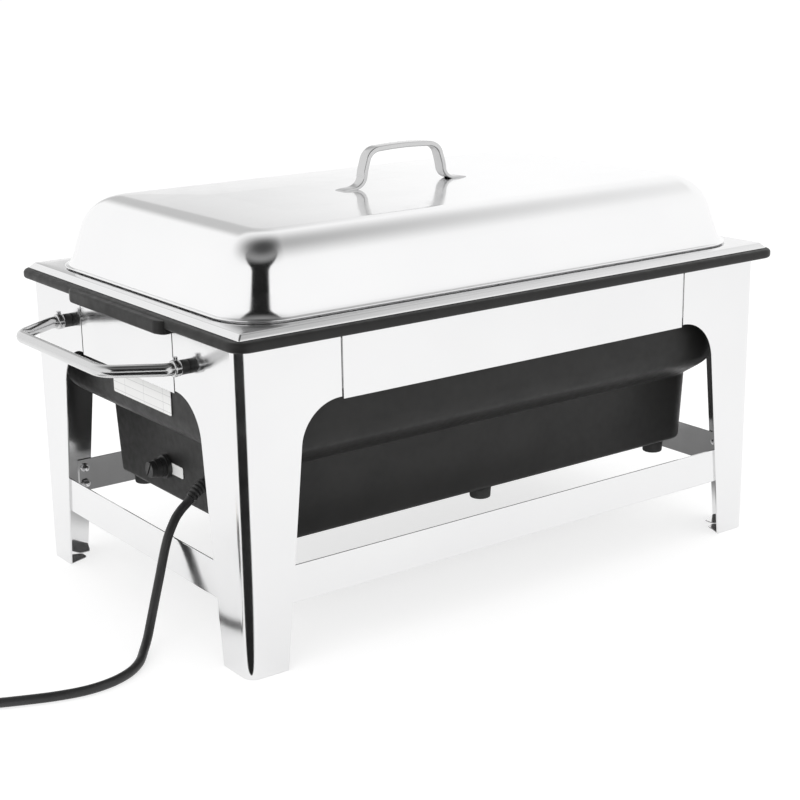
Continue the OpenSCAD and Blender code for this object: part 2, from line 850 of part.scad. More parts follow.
// Round tube along a route; with r_end it tapers towards the route's end.
module tube(route, steps, r, sides, r_end = 0) {
    path = smooth(route, steps);
    n = len(path);
    slim = r_end > 0 ? (r_end - r) / (n - 1) : 0;
    rings = [for (i = [0 : n - 1])
        let (ahead = path[min(i + 1, n - 1)] - path[max(i - 1, 0)])
        tube_ring(path[i], unit(ahead), r + slim * i, sides)];
    polyhedron(
        points = [for (ring = rings) for (p = ring) p],
        faces = concat(
            [[for (k = [0 : sides - 1]) sides - 1 - k]],
            [[for (k = [0 : sides - 1]) (n - 1) * sides + k]],
            [for (i = [0 : n - 2]) for (k = [0 : sides - 1])
                [i * sides + k, i * sides + (k + 1) % sides,
                    (i + 1) * sides + (k + 1) % sides, (i + 1) * sides + k]]));
}

module wire(route) { tube(route, 3, 1.2, 8); }

module internal_wires() {
    color("orange") unit() {
        wire([[end_x + 22, gland_y, gland_z], [-195, -54, 112], [-180, -62, 104], [-165.5, -66, 102]]);
        wire([[-120.5, -66, 101], [-108, -70, 102], [-112, -92, 106], [-150, -94, 112],
            [-190, -92, 112], [-190, -90, element_z - 31.5]]);
        wire([[-120.5, -73, 101], [-100, -60, 104], [-60, -30, 112], [-20, -6, 118],
            [-4, -3, spreader_z - 16]]);
        wire([[end_x + wall + 36.5, reset_y, reset_z + 6], [-180, 48, 116], [-186, 76, 114],
            [-190, 90, element_z - 31.5]]);
        wire([[end_x + wall + 36.5, reset_y, reset_z - 6], [-150, 22, 108], [-80, 12, 108],
            [-20, 6, 118], [4, 3, spreader_z - 16]]);
    }
}

// Gland in the end wall and the tapered boot that droops with the cord.
module cord_gland() {
    color(black) {
        translate([end_x + unit_x, gland_y, gland_z]) rotate([0, 90, 0]) difference() {
            union() {
                translate([0, 0, -3]) cylinder(r = 9, h = 3.9);
                translate([0, 0, -1]) cylinder(r = 5.9, h = 14);
                translate([0, 0, wall + 3.1]) cylinder(r = 9, h = 5, $fn = 6);
            }
            translate([0, 0, 1]) cylinder(r = cord_r + 0.1, h = 24);
        }
        tube(boot_route, 2, 7, 16, cord_r + 0.8);
    }
}

// ---- Food pan and lid ----

module food_pan() {
    color(steel) unit() {
        translate([0, 0, flange_top])
            ring_plate(food_w, food_d, 40, food_in_w, food_in_d, 42, pan_t);
        difference() {
            through_levels(pan_levels(food_in_w + 2 * pan_t, food_in_d + 2 * pan_t, 43,
                food_in_w - 22, food_in_d - 22, 36, food_z, food_top - slab, 16));
            through_levels(pan_levels(food_in_w, food_in_d, 42,
                food_in_w - 22 - 2 * pan_t, food_in_d - 22 - 2 * pan_t, 35,
                food_z + pan_t, food_top + 1, 15));
        }
    }
}

// Inward offset of the lid's skin at a step of its profile, and that step's height.
function lid_arc(a) = [
    lid_draft * lid_wall_h + lid_arc_r * (sin(lid_wall_angle) - sin(a)),
    lid_wall_h + lid_arc_r * (cos(a) - cos(lid_wall_angle))];

function lid_levels(inset) = concat(
    [[0, lid_w - 2 * inset, lid_d - 2 * inset, lid_corner - inset, lid_z - (inset > 0 ? 1 : 0)]],
    [for (i = [0 : 7])
        let (p = lid_arc(lid_wall_angle * (1 - i / 7)))
        [0, lid_w - 2 * p[0] - 2 * inset, lid_d - 2 * p[0] - 2 * inset,
            lid_corner - inset - p[0] * 0.65, lid_z + p[1] - inset - slab]]);

module lid_shell() {
    color(steel) unit() difference() {
        union() {
            through_levels(lid_levels(0));
            translate([0, 0, lid_z])
                linear_extrude(pan_t)
                    rounded_rect(lid_w + 2 * lid_rim, lid_d + 2 * lid_rim, lid_corner + lid_rim);
        }
        through_levels(lid_levels(pan_t));
        for (x = [-1, 1])
            translate([strap_shift + x * (grip_w / 2 - 9), 0, lid_top - 4]) cylinder(r = 2.2, h = 8);
    }
}

// Middle line of the strap from the handle's centre to the tip of one foot, each point
// [x, height, thickness]. The foot lies on the lid and thins out to its tip.
function strap_line() = concat(
    [[0, strap_h, strap_t], [14, strap_h - 0.3, strap_t]],
    [for (a = [90 : -10 : 10]) [26.5 + 14 * cos(a), strap_h - 13 + 12 * sin(a), strap_t]],
    [[42.5, 17, strap_t]],
    [for (a = [180 : 15 : 270])
        let (t = strap_t - (strap_t - foot_t) * (a - 180) / 90)
        [grip_w / 2 - 12 + 12.5 * cos(a), 12 + (12 - foot_t / 2) * sin(a), t]],
    [[grip_w / 2 - 6, foot_t * 0.4, foot_t * 0.8], [grip_w / 2, 0.5, 1]]);

// Offset of the strap's middle line to one side, by half of its thickness.
function strap_side(line, side) = [
    for (i = [0 : len(line) - 1])
        let (
            a = line[max(i - 1, 0)],
            b = line[min(i + 1, len(line) - 1)],
            run = norm([b[0] - a[0], b[1] - a[1]]))
        [line[i][0] - side * line[i][2] / 2 * (b[1] - a[1]) / run,
            line[i][1] + side * line[i][2] / 2 * (b[0] - a[0]) / run]];

function backwards(line) = [for (i = [len(line) - 1 : -1 : 0]) line[i]];

// Half of the strap's side outline.
module strap_half() {
    upper = strap_side(strap_line(), 1);
    lower = strap_side(strap_line(), -1);
    intersection() {
        polygon(concat(upper, backwards(lower), [[-0.1, strap_h]]));
        translate([-1, 0]) square([grip_w / 2 + 1, strap_h + strap_t]);
    }
}

module at_strap_feet() {
    for (x = [-1, 1])
        translate([strap_shift + x * (grip_w / 2 - 9), 0, lid_top - slab]) children();
}

// The strap, with a stud welded under each foot.
module lid_handle() {
    color(steel) unit() {
        translate([strap_shift, strap_w / 2, lid_top - slab]) rotate([90, 0, 0])
            linear_extrude(strap_w) {
                strap_half();
                mirror([1, 0]) strap_half();
            }
        at_strap_feet() translate([0, 0, -6.5]) cylinder(r = stud_r, h = 7.5);
    }
}

module lid_handle_nuts() {
    color(steel) unit() at_strap_feet() {
        translate([0, 0, -pan_t - 0.8]) difference() {
            cylinder(r = 5, h = 0.8);
            translate([0, 0, -1]) cylinder(r = stud_r + 0.05, h = 3);
        }
        translate([0, 0, -pan_t - 0.8 - nut_h]) hex_nut(nut_af, nut_h, stud_r + 0.05);
    }
}

// ---- Power cord ----

// Room taken by the wound coil, where the cord runs on inside it.
module coil_room() {
    translate([coil_x, coil_y, -1]) cylinder(r = coil_out + 0.3, h = coil_z + coil_h + 3);
}

module power_cord() {
    color(black) difference() {
        tube(cord_route, 2, cord_r, cord_sides);
        coil_room();
    }
}

// Outer shape of the wound coil.
module cord_coil() {
    color(black) translate([coil_x, coil_y, coil_z])
        rotate_extrude() translate([coil_in, 0]) polygon([
            [2, 0], [coil_out - coil_in - 2, 0], [coil_out - coil_in, 2],
            [coil_out - coil_in, coil_h - 2], [coil_out - coil_in - 2, coil_h],
            [2, coil_h], [0, coil_h - 2], [0, 2]]);
}

lead_route = [coil_exit, [-513, 18, 17.5], [-503, 26, 13], plug_entry];

module cord_lead() {
    color(black) difference() {
        tube(lead_route, 3, cord_r, cord_sides);
        coil_room();
    }
}

// Strap closed round the coil's section.
module cord_tie() {
    color(black) translate([coil_x, coil_y, 0]) rotate(tie_angle)
        translate([coil_in - tie_t - 1.2, -tie_w / 2, 0]) difference() {
            cube([coil_out - coil_in + 2 * tie_t + 1.4, tie_w, coil_h + coil_z + tie_t]);
            translate([tie_t, -1, tie_t])
                cube([coil_out - coil_in + 1.4, tie_w + 2, coil_h + coil_z - tie_t]);
        }
}

module at_plug() {
    translate([plug_x, plug_y, 0]) rotate(plug_turn) children();
}

// Plug body lying on its back, the cord entering at its -X end.
module plug_body() {
    color(black) at_plug() difference() {
        union() {
            linear_extrude(plug_h - 3) rounded_rect(plug_l, plug_w, 10);
            linear_extrude(plug_h) rounded_rect(plug_l - 4, plug_w - 4, 8);
        }
        translate([-plug_l / 2 - 1, 0, plug_h / 2]) rotate([0, 90, 0]) cylinder(r = cord_r + 0.1, h = 8);
        translate([-9, -6, plug_h - 4]) cube([14, 12, 5]);
        for (y = [-11.1, 11.1]) translate([-15.1, y - 3.3, plug_h - 8]) cube([4.2, 6.6, 9]);
        translate([8.9, -2.1, plug_h - 8]) cube([8.2, 4.2, 9]);
    }
}

module plug_pins() {
    color("goldenrod") at_plug() {
        for (y = [-11.1, 11.1]) translate([-15, y - 3.2, plug_h - 8]) cube([4, 6.4, 25.7]);
        translate([9, -2, plug_h - 8]) cube([8, 4, 30.7]);
    }
}

module fuse_carrier() {
    color("firebrick") at_plug() translate([-8.9, -5.9, plug_h - 4]) cube([13.8, 11.8, 4.4]);
}

leg_front_left();
leg_front_right();
leg_rear_left();
leg_rear_right();
apron_front();
apron_rear();
apron_left();
apron_right();
rail_front();
rail_rear();
rail_left();
rail_right();
rail_studs();
rail_nuts();
apron_studs();
apron_nuts();
handle_left();
handle_right();
handle_ferrules();
handle_spacers();
handle_screws();
handle_grub_screws();
outer_housing();
base_cover();
housing_feet();
base_screws();
water_pan();
pan_gasket();
pan_screws();
pan_nuts();
pan_studs();
heat_spreader();
heating_element();
element_clamps();
clamp_nuts();
heat_shield();
thermostat();
thermal_cutout();
reset_button();
reset_collar();
reset_cap();
reset_label();
rating_label();
terminal_block();
internal_wires();
cord_gland();
food_pan();
lid_shell();
lid_handle();
lid_handle_nuts();
power_cord();
cord_coil();
cord_lead();
cord_tie();
plug_body();
plug_pins();
fuse_carrier();
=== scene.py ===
import math

import bmesh
import bpy
from mathutils import Matrix, Vector


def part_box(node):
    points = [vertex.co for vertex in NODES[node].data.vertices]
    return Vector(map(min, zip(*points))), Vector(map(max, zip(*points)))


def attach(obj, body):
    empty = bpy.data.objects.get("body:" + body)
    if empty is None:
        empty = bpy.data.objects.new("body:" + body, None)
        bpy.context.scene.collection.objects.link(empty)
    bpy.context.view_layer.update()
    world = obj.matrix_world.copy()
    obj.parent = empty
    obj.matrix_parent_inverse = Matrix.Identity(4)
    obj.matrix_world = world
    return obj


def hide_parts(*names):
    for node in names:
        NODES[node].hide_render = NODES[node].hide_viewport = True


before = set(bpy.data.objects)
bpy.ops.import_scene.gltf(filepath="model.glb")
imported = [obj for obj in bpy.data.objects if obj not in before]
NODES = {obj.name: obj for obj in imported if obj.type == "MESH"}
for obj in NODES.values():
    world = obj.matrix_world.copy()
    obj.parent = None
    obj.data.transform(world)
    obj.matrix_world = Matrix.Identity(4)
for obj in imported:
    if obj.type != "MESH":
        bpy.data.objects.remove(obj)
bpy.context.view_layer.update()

MM = 0.001
UNIT_X = 4.0  # the heater unit sits this far along +X in the stand

# ---------------------------------------------------------------- camera


def make_camera():
    yaw, pitch, roll = math.radians(36.26), math.radians(15.90), math.radians(-0.86)
    forward = Vector((math.sin(yaw) * math.cos(pitch), math.cos(yaw) * math.cos(pitch), -math.sin(pitch)))
    right = Vector((math.cos(yaw), -math.sin(yaw), 0))
    up = right.cross(forward)
    right, up = (math.cos(roll) * right + math.sin(roll) * up,
                 -math.sin(roll) * right + math.cos(roll) * up)
    data = bpy.data.cameras.new("camera")
    data.sensor_width = 36.0
    data.lens = 73.856
    data.clip_start, data.clip_end = 0.05, 300.0
    cam = bpy.data.objects.new("camera", data)
    turn = Matrix((right, up, -forward)).transposed().to_4x4()
    cam.matrix_world = Matrix.Translation(Vector((-863.71, -1176.24, 552.78)) * MM) @ turn
    bpy.context.scene.collection.objects.link(cam)
    bpy.context.scene.camera = cam


make_camera()

# ---------------------------------------------------------------- mesh helpers


def finish_piece(o, body, material, nodes=()):
    o.data.materials.append(material)
    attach(o, body)
    if nodes:
        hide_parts(*nodes)
    return o


def mesh_object(name, verts, faces, sharp=32.0, scale=MM):
    """A smooth-shaded object from points in millimetres; edges sharper than the angle stay sharp."""
    me = bpy.data.meshes.new(name)
    me.from_pydata([[c * scale for c in v] for v in verts], [], faces)
    bm = bmesh.new()
    bm.from_mesh(me)
    bmesh.ops.remove_doubles(bm, verts=bm.verts, dist=1e-7)
    bmesh.ops.recalc_face_normals(bm, faces=bm.faces)
    bm.to_mesh(me)
    bm.free()
    me.polygons.foreach_set("use_smooth", [True] * len(me.polygons))
    me.set_sharp_from_angle(angle=math.radians(sharp))
    me.validate()
    o = bpy.data.objects.new(name, me)
    bpy.context.scene.collection.objects.link(o)
    return o


def soften(o, width, segments=2, angle=40.0):
    """Rounds the edges that are sharper than the angle, keeping the flats flat."""
    b = o.modifiers.new("edges", "BEVEL")
    b.width = width * MM
    b.segments = segments
    b.limit_method = "ANGLE"
    b.angle_limit = math.radians(angle)
    b.use_clamp_overlap = True
    w = o.modifiers.new("normals", "WEIGHTED_NORMAL")
    w.keep_sharp = True
    w.weight = 80
    return o


def joined(parts):
    """One vertex and face list from several."""
    verts, faces = [], []
    for v, f in parts:
        k = len(verts)
        verts += v
        faces += [[i + k for i in face] for face in f]
    return verts, faces


def moved(part, turn=Matrix.Identity(4)):
    v, f = part
    return [tuple(turn @ Vector(p)) for p in v], f


def rect_ring(w, d, radii, z, n=12, cx=0.0, cy=0.0):
    """Points round a rectangle with four corner radii: (+,+), (-,+), (-,-), (+,-)."""
    if not hasattr(radii, "__len__"):
        radii = (radii,) * 4
    out = []
    for k, (sx, sy) in enumerate(((1, 1), (-1, 1), (-1, -1), (1, -1))):
        r = max(radii[k], 0.01)
        ox, oy = cx + sx * (w / 2 - r), cy + sy * (d / 2 - r)
        for i in range(n + 1):
            a = math.radians(90 * k + 90 * i / n)
            out.append((ox + r * math.cos(a), oy + r * math.sin(a), z))
    return out


def loft(rings, cap_first=True, cap_last=True, closed=False):
    n = len(rings[0])
    verts = [p for r in rings for p in r]
    faces = []
    rows = len(rings) if closed else len(rings) - 1
    for i in range(rows):
        a, b = i * n, ((i + 1) % len(rings)) * n
        for k in range(n):
            m = (k + 1) % n
            faces.append([a + k, a + m, b + m, b + k])
    if cap_first and not closed:
        faces.append(list(range(n))[::-1])
    if cap_last and not closed:
        faces.append([(len(rings) - 1) * n + k for k in range(n)])
    return verts, faces


def rounded_path(points, cut, n=6):
    """A polyline whose inner corners are rounded; cut is the length taken from each side."""
    out = [Vector(points[0])]
    for i in range(1, len(points) - 1):
        a, b, c = Vector(points[i - 1]), Vector(points[i]), Vector(points[i + 1])
        want = cut[i] if hasattr(cut, "__len__") else cut
        k = min(want, (a - b).length * 0.49, (c - b).length * 0.49)
        p, q = b + (a - b).normalized() * k, b + (c - b).normalized() * k
        for j in range(n + 1):
            t = j / n
            out.append(p * (1 - t) ** 2 + b * 2 * t * (1 - t) + q * t * t)
    out.append(Vector(points[-1]))
    return out


def catmull(points, steps):
    pts = [Vector(p) for p in points]
    out = []
    for i in range(len(pts) - 1):
        a, b, c, d = pts[max(i - 1, 0)], pts[i], pts[i + 1], pts[min(i + 2, len(pts) - 1)]
        for s in range(steps):
            t = s / steps
            out.append(0.5 * (2 * b + (c - a) * t + (2 * a - 5 * b + 4 * c - d) * t * t
                              + (3 * b - 3 * c + d - a) * t * t * t))
    out.append(pts[-1])
    return out


def path_frames(path):
    """A side and an up vector at every point of a path, carried along without twist."""
    pts = [Vector(p) for p in path]
    n = len(pts)
    tan = [(pts[min(i + 1, n - 1)] - pts[max(i - 1, 0)]).normalized() for i in range(n)]
    ref = Vector((0, 0, 1)) if abs(tan[0].z) < 0.9 else Vector((1, 0, 0))
    side = tan[0].cross(ref).normalized()
    out = []
    for i in range(n):
        side = (side - tan[i] * side.dot(tan[i])).normalized()
        out.append((side, side.cross(tan[i]).normalized()))
    return out


def tube(path, radius, sides=24, caps=True):
    frames = path_frames(path)
    rings = []
    for i, p in enumerate(path):
        r = radius[i] if hasattr(radius, "__len__") else radius
        side, up = frames[i]
        rings.append([tuple(Vector(p) + r * (math.cos(2 * math.pi * k / sides) * side
                                             + math.sin(2 * math.pi * k / sides) * up))
                      for k in range(sides)])
    return loft(rings, caps, caps)


def lathe(profile, sides=40, turn=Matrix.Identity(4)):
    """A solid of revolution about Z from (radius, height) points, both ends closed."""
    rings = []
    for r, z in profile:
        rings.append([(max(r, 0.001) * math.cos(2 * math.pi * k / sides),
                       max(r, 0.001) * math.sin(2 * math.pi * k / sides), z) for k in range(sides)])
    return moved(loft(rings), turn)


def block(lo, hi):
    x, y, z = zip(lo, hi)
    v = [(x[i], y[j], z[k]) for k in (0, 1) for j in (0, 1) for i in (0, 1)]
    return v, [[0, 2, 3, 1], [4, 5, 7, 6], [0, 1, 5, 4], [2, 6, 7, 3], [0, 4, 6, 2], [1, 3, 7, 5]]


def extruded(outline, z0, z1):
    n = len(outline)
    v = [(x, y, z0) for x, y in outline] + [(x, y, z1) for x, y in outline]
    f = [list(range(n))[::-1], list(range(n, 2 * n))]
    f += [[i, (i + 1) % n, n + (i + 1) % n, n + i] for i in range(n)]
    return v, f


# ---------------------------------------------------------------- material helpers


class Mat:
    """Small wrapper for building a node material."""

    def __init__(self, name, metallic=0.0, rough=0.5, **sockets):
        self.m = bpy.data.materials.new(name)
        self.m.use_nodes = True
        self.t = self.m.node_tree
        self.t.nodes.clear()
        self.out = self.t.nodes.new("ShaderNodeOutputMaterial")
        self.b = self.t.nodes.new("ShaderNodeBsdfPrincipled")
        self.t.links.new(self.b.outputs["BSDF"], self.out.inputs["Surface"])
        self.b.inputs["Metallic"].default_value = metallic
        self.b.inputs["Roughness"].default_value = rough
        for k, v in sockets.items():
            self.b.inputs[k.replace("_", " ")].default_value = v
        self.coord = self.t.nodes.new("ShaderNodeTexCoord")

    def link(self, a, b):
        self.t.links.new(a, b)

    def noise(self, scale, detail=3.0, rough=0.5, stretch=None, distortion=0.0):
        n = self.t.nodes.new("ShaderNodeTexNoise")
        n.inputs["Scale"].default_value = scale
        n.inputs["Detail"].default_value = detail
        n.inputs["Roughness"].default_value = rough
        n.inputs["Distortion"].default_value = distortion
        src = self.coord.outputs["Object"]
        if stretch:
            mp = self.t.nodes.new("ShaderNodeMapping")
            mp.inputs["Scale"].default_value = stretch
            self.link(src, mp.inputs["Vector"])
            src = mp.outputs["Vector"]
        self.link(src, n.inputs["Vector"])
        return n.outputs["Fac"]

    def spread(self, value, low, high, lo=0.3, hi=0.7):
        r = self.t.nodes.new("ShaderNodeMapRange")
        r.inputs["From Min"].default_value = lo
        r.inputs["From Max"].default_value = hi
        r.inputs["To Min"].default_value = low
        r.inputs["To Max"].default_value = high
        self.link(value, r.inputs["Value"])
        return r.outputs["Result"]

    def blend_colors(self, fac, a, b, lo=0.3, hi=0.7):
        r = self.t.nodes.new("ShaderNodeValToRGB")
        r.color_ramp.elements[0].position = lo
        r.color_ramp.elements[0].color = (*a, 1)
        r.color_ramp.elements[1].position = hi
        r.color_ramp.elements[1].color = (*b, 1)
        self.link(fac, r.inputs["Fac"])
        return r.outputs["Color"]

    def color(self, fac, a, b, lo=0.3, hi=0.7):
        self.link(self.blend_colors(fac, a, b, lo, hi), self.b.inputs["Base Color"])

    def rough(self, fac, low, high, lo=0.3, hi=0.7):
        self.link(self.spread(fac, low, high, lo, hi), self.b.inputs["Roughness"])

    def bump(self, *layers):
        """Layers of (height output, distance in metres, strength)."""
        last = None
        for h, distance, strength in layers:
            n = self.t.nodes.new("ShaderNodeBump")
            n.inputs["Distance"].default_value = distance
            n.inputs["Strength"].default_value = strength
            self.link(h, n.inputs["Height"])
            if last is not None:
                self.link(last, n.inputs["Normal"])
            last = n.outputs["Normal"]
        self.link(last, self.b.inputs["Normal"])


def mirror_steel(name, tone=0.9, rough=(0.045, 0.085), wave=0.00035, brush=None, brush_depth=2e-6):
    m = Mat(name, metallic=1.0)
    fine = m.noise(55.0, 4.0)
    m.color(m.noise(9.0, 3.0), (tone * 0.975, tone * 0.975, tone * 0.98), (tone, tone, tone * 1.003))
    m.rough(fine, *rough)
    layers = [(m.noise(7.5, 1.0), wave, 1.0)]
    if brush:
        layers.append((m.noise(1.0, 2.0, stretch=brush), brush_depth, 1.0))
    m.bump(*layers)
    return m.m


def grained(name, dark, light, rough, scale=900.0, depth=0.00006, **kw):
    """Moulded or textured plastic and rubber."""
    m = Mat(name, **kw)
    big = m.noise(26.0, 4.0)
    m.color(big, dark, light)
    m.rough(m.noise(140.0, 3.0), *rough)
    m.bump((m.noise(scale, 2.0), depth, 0.8))
    return m.m


def satin_metal(name, dark, light, rough, brush=(40, 900, 900), depth=6e-6):
    m = Mat(name, metallic=1.0)
    m.color(m.noise(30.0, 4.0), dark, light)
    m.rough(m.noise(1.0, 3.0, stretch=brush), *rough)
    m.bump((m.noise(1.0, 2.0, stretch=brush), depth, 1.0))
    return m.m


STEEL = mirror_steel("polished_sheet", 0.8, (0.12, 0.17), 0.00022, brush=(14, 700, 700), brush_depth=1.2e-6)
LID = mirror_steel("lid_steel", 0.9, (0.09, 0.15), 0.00016, brush=(10, 520, 520), brush_depth=2.5e-6)
HANDLE = mirror_steel("handle_steel", 0.63, (0.14, 0.22), 0.00004, brush=(300, 300, 300), brush_depth=8e-7)
STRAP = mirror_steel("strap_steel", 0.6, (0.1, 0.16), 0.00004, brush=(300, 300, 300), brush_depth=8e-7)
PAN = mirror_steel("pan_steel", 0.8, (0.12, 0.22), 0.0001, brush=(12, 620, 620), brush_depth=4e-6)
BOLTS = satin_metal("fastener_steel", (0.62, 0.62, 0.63), (0.76, 0.76, 0.77), (0.16, 0.3))
HOUSING = grained("black_housing", (0.0085, 0.0083, 0.008), (0.014, 0.0136, 0.0132), (0.4, 0.52),
                  1400.0, 0.00003, Specular_IOR_Level=0.3)
PLASTIC = grained("black_plastic", (0.014, 0.014, 0.014), (0.024, 0.024, 0.024), (0.34, 0.5),
                  1100.0, 0.00003)
RUBBER_FEET = grained("rubber_feet", (0.014, 0.014, 0.014), (0.03, 0.03, 0.03), (0.6, 0.8), 700.0, 0.00008)
SILICONE = grained("silicone", (0.5, 0.48, 0.45), (0.58, 0.56, 0.53), (0.4, 0.6), 500.0, 0.00004)
ALUMINIUM = satin_metal("aluminium_plate", (0.66, 0.66, 0.67), (0.76, 0.76, 0.77), (0.3, 0.45), depth=1e-5)
SHIELD = satin_metal("shield_steel", (0.58, 0.58, 0.59), (0.7, 0.7, 0.71), (0.22, 0.4))
SHEATH = satin_metal("element_sheath", (0.2, 0.18, 0.16), (0.34, 0.31, 0.28), (0.35, 0.6),
                     (120, 120, 120), 2e-5)
CERAMIC = grained("ceramic", (0.72, 0.68, 0.58), (0.84, 0.81, 0.72), (0.15, 0.3), 300.0, 0.00002)
RED = grained("red_plastic", (0.42, 0.03, 0.025), (0.56, 0.05, 0.04), (0.25, 0.4), 500.0, 0.00002)
IVORY = grained("ivory_plastic", (0.7, 0.67, 0.58), (0.8, 0.77, 0.69), (0.4, 0.55), 500.0, 0.00003)
SLEEVE = grained("wire_sleeve", (0.5, 0.2, 0.05), (0.64, 0.3, 0.1), (0.5, 0.65), 900.0, 0.00004)
CORD = grained("cord_rubber", (0.011, 0.011, 0.011), (0.02, 0.02, 0.021), (0.38, 0.52), 800.0, 0.00004)
PLUG = grained("plug_plastic", (0.012, 0.012, 0.012), (0.022, 0.022, 0.022), (0.2, 0.34), 900.0, 0.00002)
BRASS = satin_metal("brass_pins", (0.66, 0.5, 0.24), (0.82, 0.66, 0.36), (0.14, 0.28))


def label_material():
    """White film with faint ruled lines, as a printed table without any lettering."""
    m = Mat("label", rough=0.4)
    sep = m.t.nodes.new("ShaderNodeSeparateXYZ")
    m.link(m.coord.outputs["Object"], sep.inputs["Vector"])
    pad = m.t.nodes.new("ShaderNodeCombineXYZ")
    m.link(sep.outputs["Y"], pad.inputs["X"])
    m.link(sep.outputs["Z"], pad.inputs["Y"])
    brick = m.t.nodes.new("ShaderNodeTexBrick")
    brick.offset = 0.0
    brick.inputs["Scale"].default_value = 1.0
    brick.inputs["Brick Width"].default_value = 0.0333
    brick.inputs["Row Height"].default_value = 0.0068
    brick.inputs["Mortar Size"].default_value = 0.00022
    brick.inputs["Mortar Smooth"].default_value = 0.3
    brick.inputs["Color1"].default_value = (0.84, 0.84, 0.83, 1)
    brick.inputs["Color2"].default_value = (0.8, 0.8, 0.79, 1)
    brick.inputs["Mortar"].default_value = (0.5, 0.5, 0.5, 1)
    m.link(pad.outputs["Vector"], brick.inputs["Vector"])
    m.link(brick.outputs["Color"], m.b.inputs["Base Color"])
    m.rough(m.noise(200.0), 0.3, 0.45)
    m.bump((m.noise(400.0), 0.00002, 0.5))
    return m.m


def plain_film():
    m = Mat("label_plain", rough=0.4)
    m.color(m.noise(60.0), (0.8, 0.8, 0.79), (0.86, 0.86, 0.85))
    m.rough(m.noise(200.0), 0.3, 0.45)
    m.bump((m.noise(400.0), 0.00002, 0.5))
    return m.m


LABEL = label_material()
LABEL_PLAIN = plain_film()

# ---------------------------------------------------------------- cord

CORD_D = 7.5
ROUTE = [
    (-254, -55.5, 112.8), (-258.2, -55.8, 108.9), (-264, -56.5, 105), (-270, -57.8, 100),
    (-275.4, -60, 94), (-280, -61.8, 87.5), (-284, -63.2, 79), (-287.6, -63.8, 68),
    (-291, -64, 56), (-295, -64, 42), (-299, -65, 30), (-304, -68, 19), (-310, -73.6, 10.8),
    (-318.6, -83, 5.6), (-330, -97, 3.9), (-345, -109, 3.8), (-364, -116, 3.8),
    (-385, -117, 3.8), (-407, -112, 3.8), (-430, -103, 3.8), (-454, -92, 3.8),
    (-478, -79.6, 4), (-503, -68, 4.8)]
LEAD = [(-522, 12, 19.8), (-513, 18, 17.5), (-503, 26, 13), (-487.97, 41.03, 10)]
COIL = Vector((-488, -22, 0))
COIL_OUT, COIL_IN, COIL_LOW, TURN_UP = 48.25, 32.75, 4.75, 7.5


def coil_points():
    """Three layers of turns laid beside and on each other, wound clockwise from the outside."""
    layer = 360 * (COIL_OUT - COIL_IN) / CORD_D
    stages = [(layer, COIL_OUT, COIL_IN, 0, 0), (80, COIL_IN, COIL_IN, 0, 1),
              (layer, COIL_IN, COIL_OUT, 1, 1), (60, COIL_OUT, COIL_OUT, 1, 2),
              (0, COIL_OUT, COIL_OUT - 0.2, 2, 2)]
    angle = -108.0
    left = [s[0] for s in stages]
    left[-1] = 1917.0 - sum(left)
    out = []
    for (_, r0, r1, z0, z1), sweep in zip(stages, left):
        n = max(4, round(sweep / 12))
        for i in range(n):
            t = i / n
            ease = t * t * (3 - 2 * t)
            r, a = r0 + (r1 - r0) * t, math.radians(angle - sweep * t)
            z = COIL_LOW + TURN_UP * (z0 + (z1 - z0) * ease)
            out.append(COIL + Vector((r * math.cos(a), r * math.sin(a), z)))
        angle -= sweep
    return out


def make_cord():
    line = catmull(ROUTE, 6)[:-1] + coil_points()[1:] + catmull(LEAD, 6)
    data = bpy.data.curves.new("cord", "CURVE")
    data.dimensions = "3D"
    data.bevel_depth = CORD_D / 2 * MM
    data.bevel_resolution = 6
    data.use_fill_caps = True
    s = data.splines.new("POLY")
    s.points.add(len(line) - 1)
    for p, q in zip(s.points, line):
        p.co = (*(q * MM), 1)
    s.use_smooth = True
    o = bpy.data.objects.new("cord", data)
    bpy.context.scene.collection.objects.link(o)
    finish_piece(o, "base", CORD, ("power_cord", "cord_coil", "cord_lead"))
    return o, sum((b - a).length for a, b in zip(line, line[1:])) * MM


cord, cord_length = make_cord()

# the tie round the coil's section


def make_tie():
    turn = Matrix.Translation(COIL) @ Matrix.Rotation(math.radians(15), 4, "Z")
    ring = rect_ring(25.6, 23.9, 5.0, 0, 6, 40.5, 12.45)
    inner = rect_ring(24.0, 22.3, 4.2, 0, 6, 40.5, 12.45)
    # the outline lies in the (radius, height) plane; width runs across it
    rings = []
    for pts, y in ((ring, -6.4), (ring, -6.9), (inner, -6.9), (inner, 6.9), (ring, 6.9), (ring, 6.4)):
        rings.append([(p[0], y, p[1]) for p in pts])
    band = moved(loft(rings, closed=True), turn)
    tail = moved(extruded(rounded_tail(), 24.4, 25.1), turn)
    o = mesh_object("tie_band", *joined([band, tail]), sharp=50)
    soften(o, 0.25)
    return finish_piece(o, "base", PLASTIC, ("cord_tie",))


def rounded_tail():
    """Free end of the tie, lying on the band's top."""
    return [(33, -6.2), (47, -6.2), (50.5, -3.4), (50.5, 3.4), (47, 6.2), (33, 6.2)]


tie = make_tie()

PLUG_AT = Matrix.Translation((-471, 58, 0)) @ Matrix.Rotation(math.radians(45), 4, "Z")


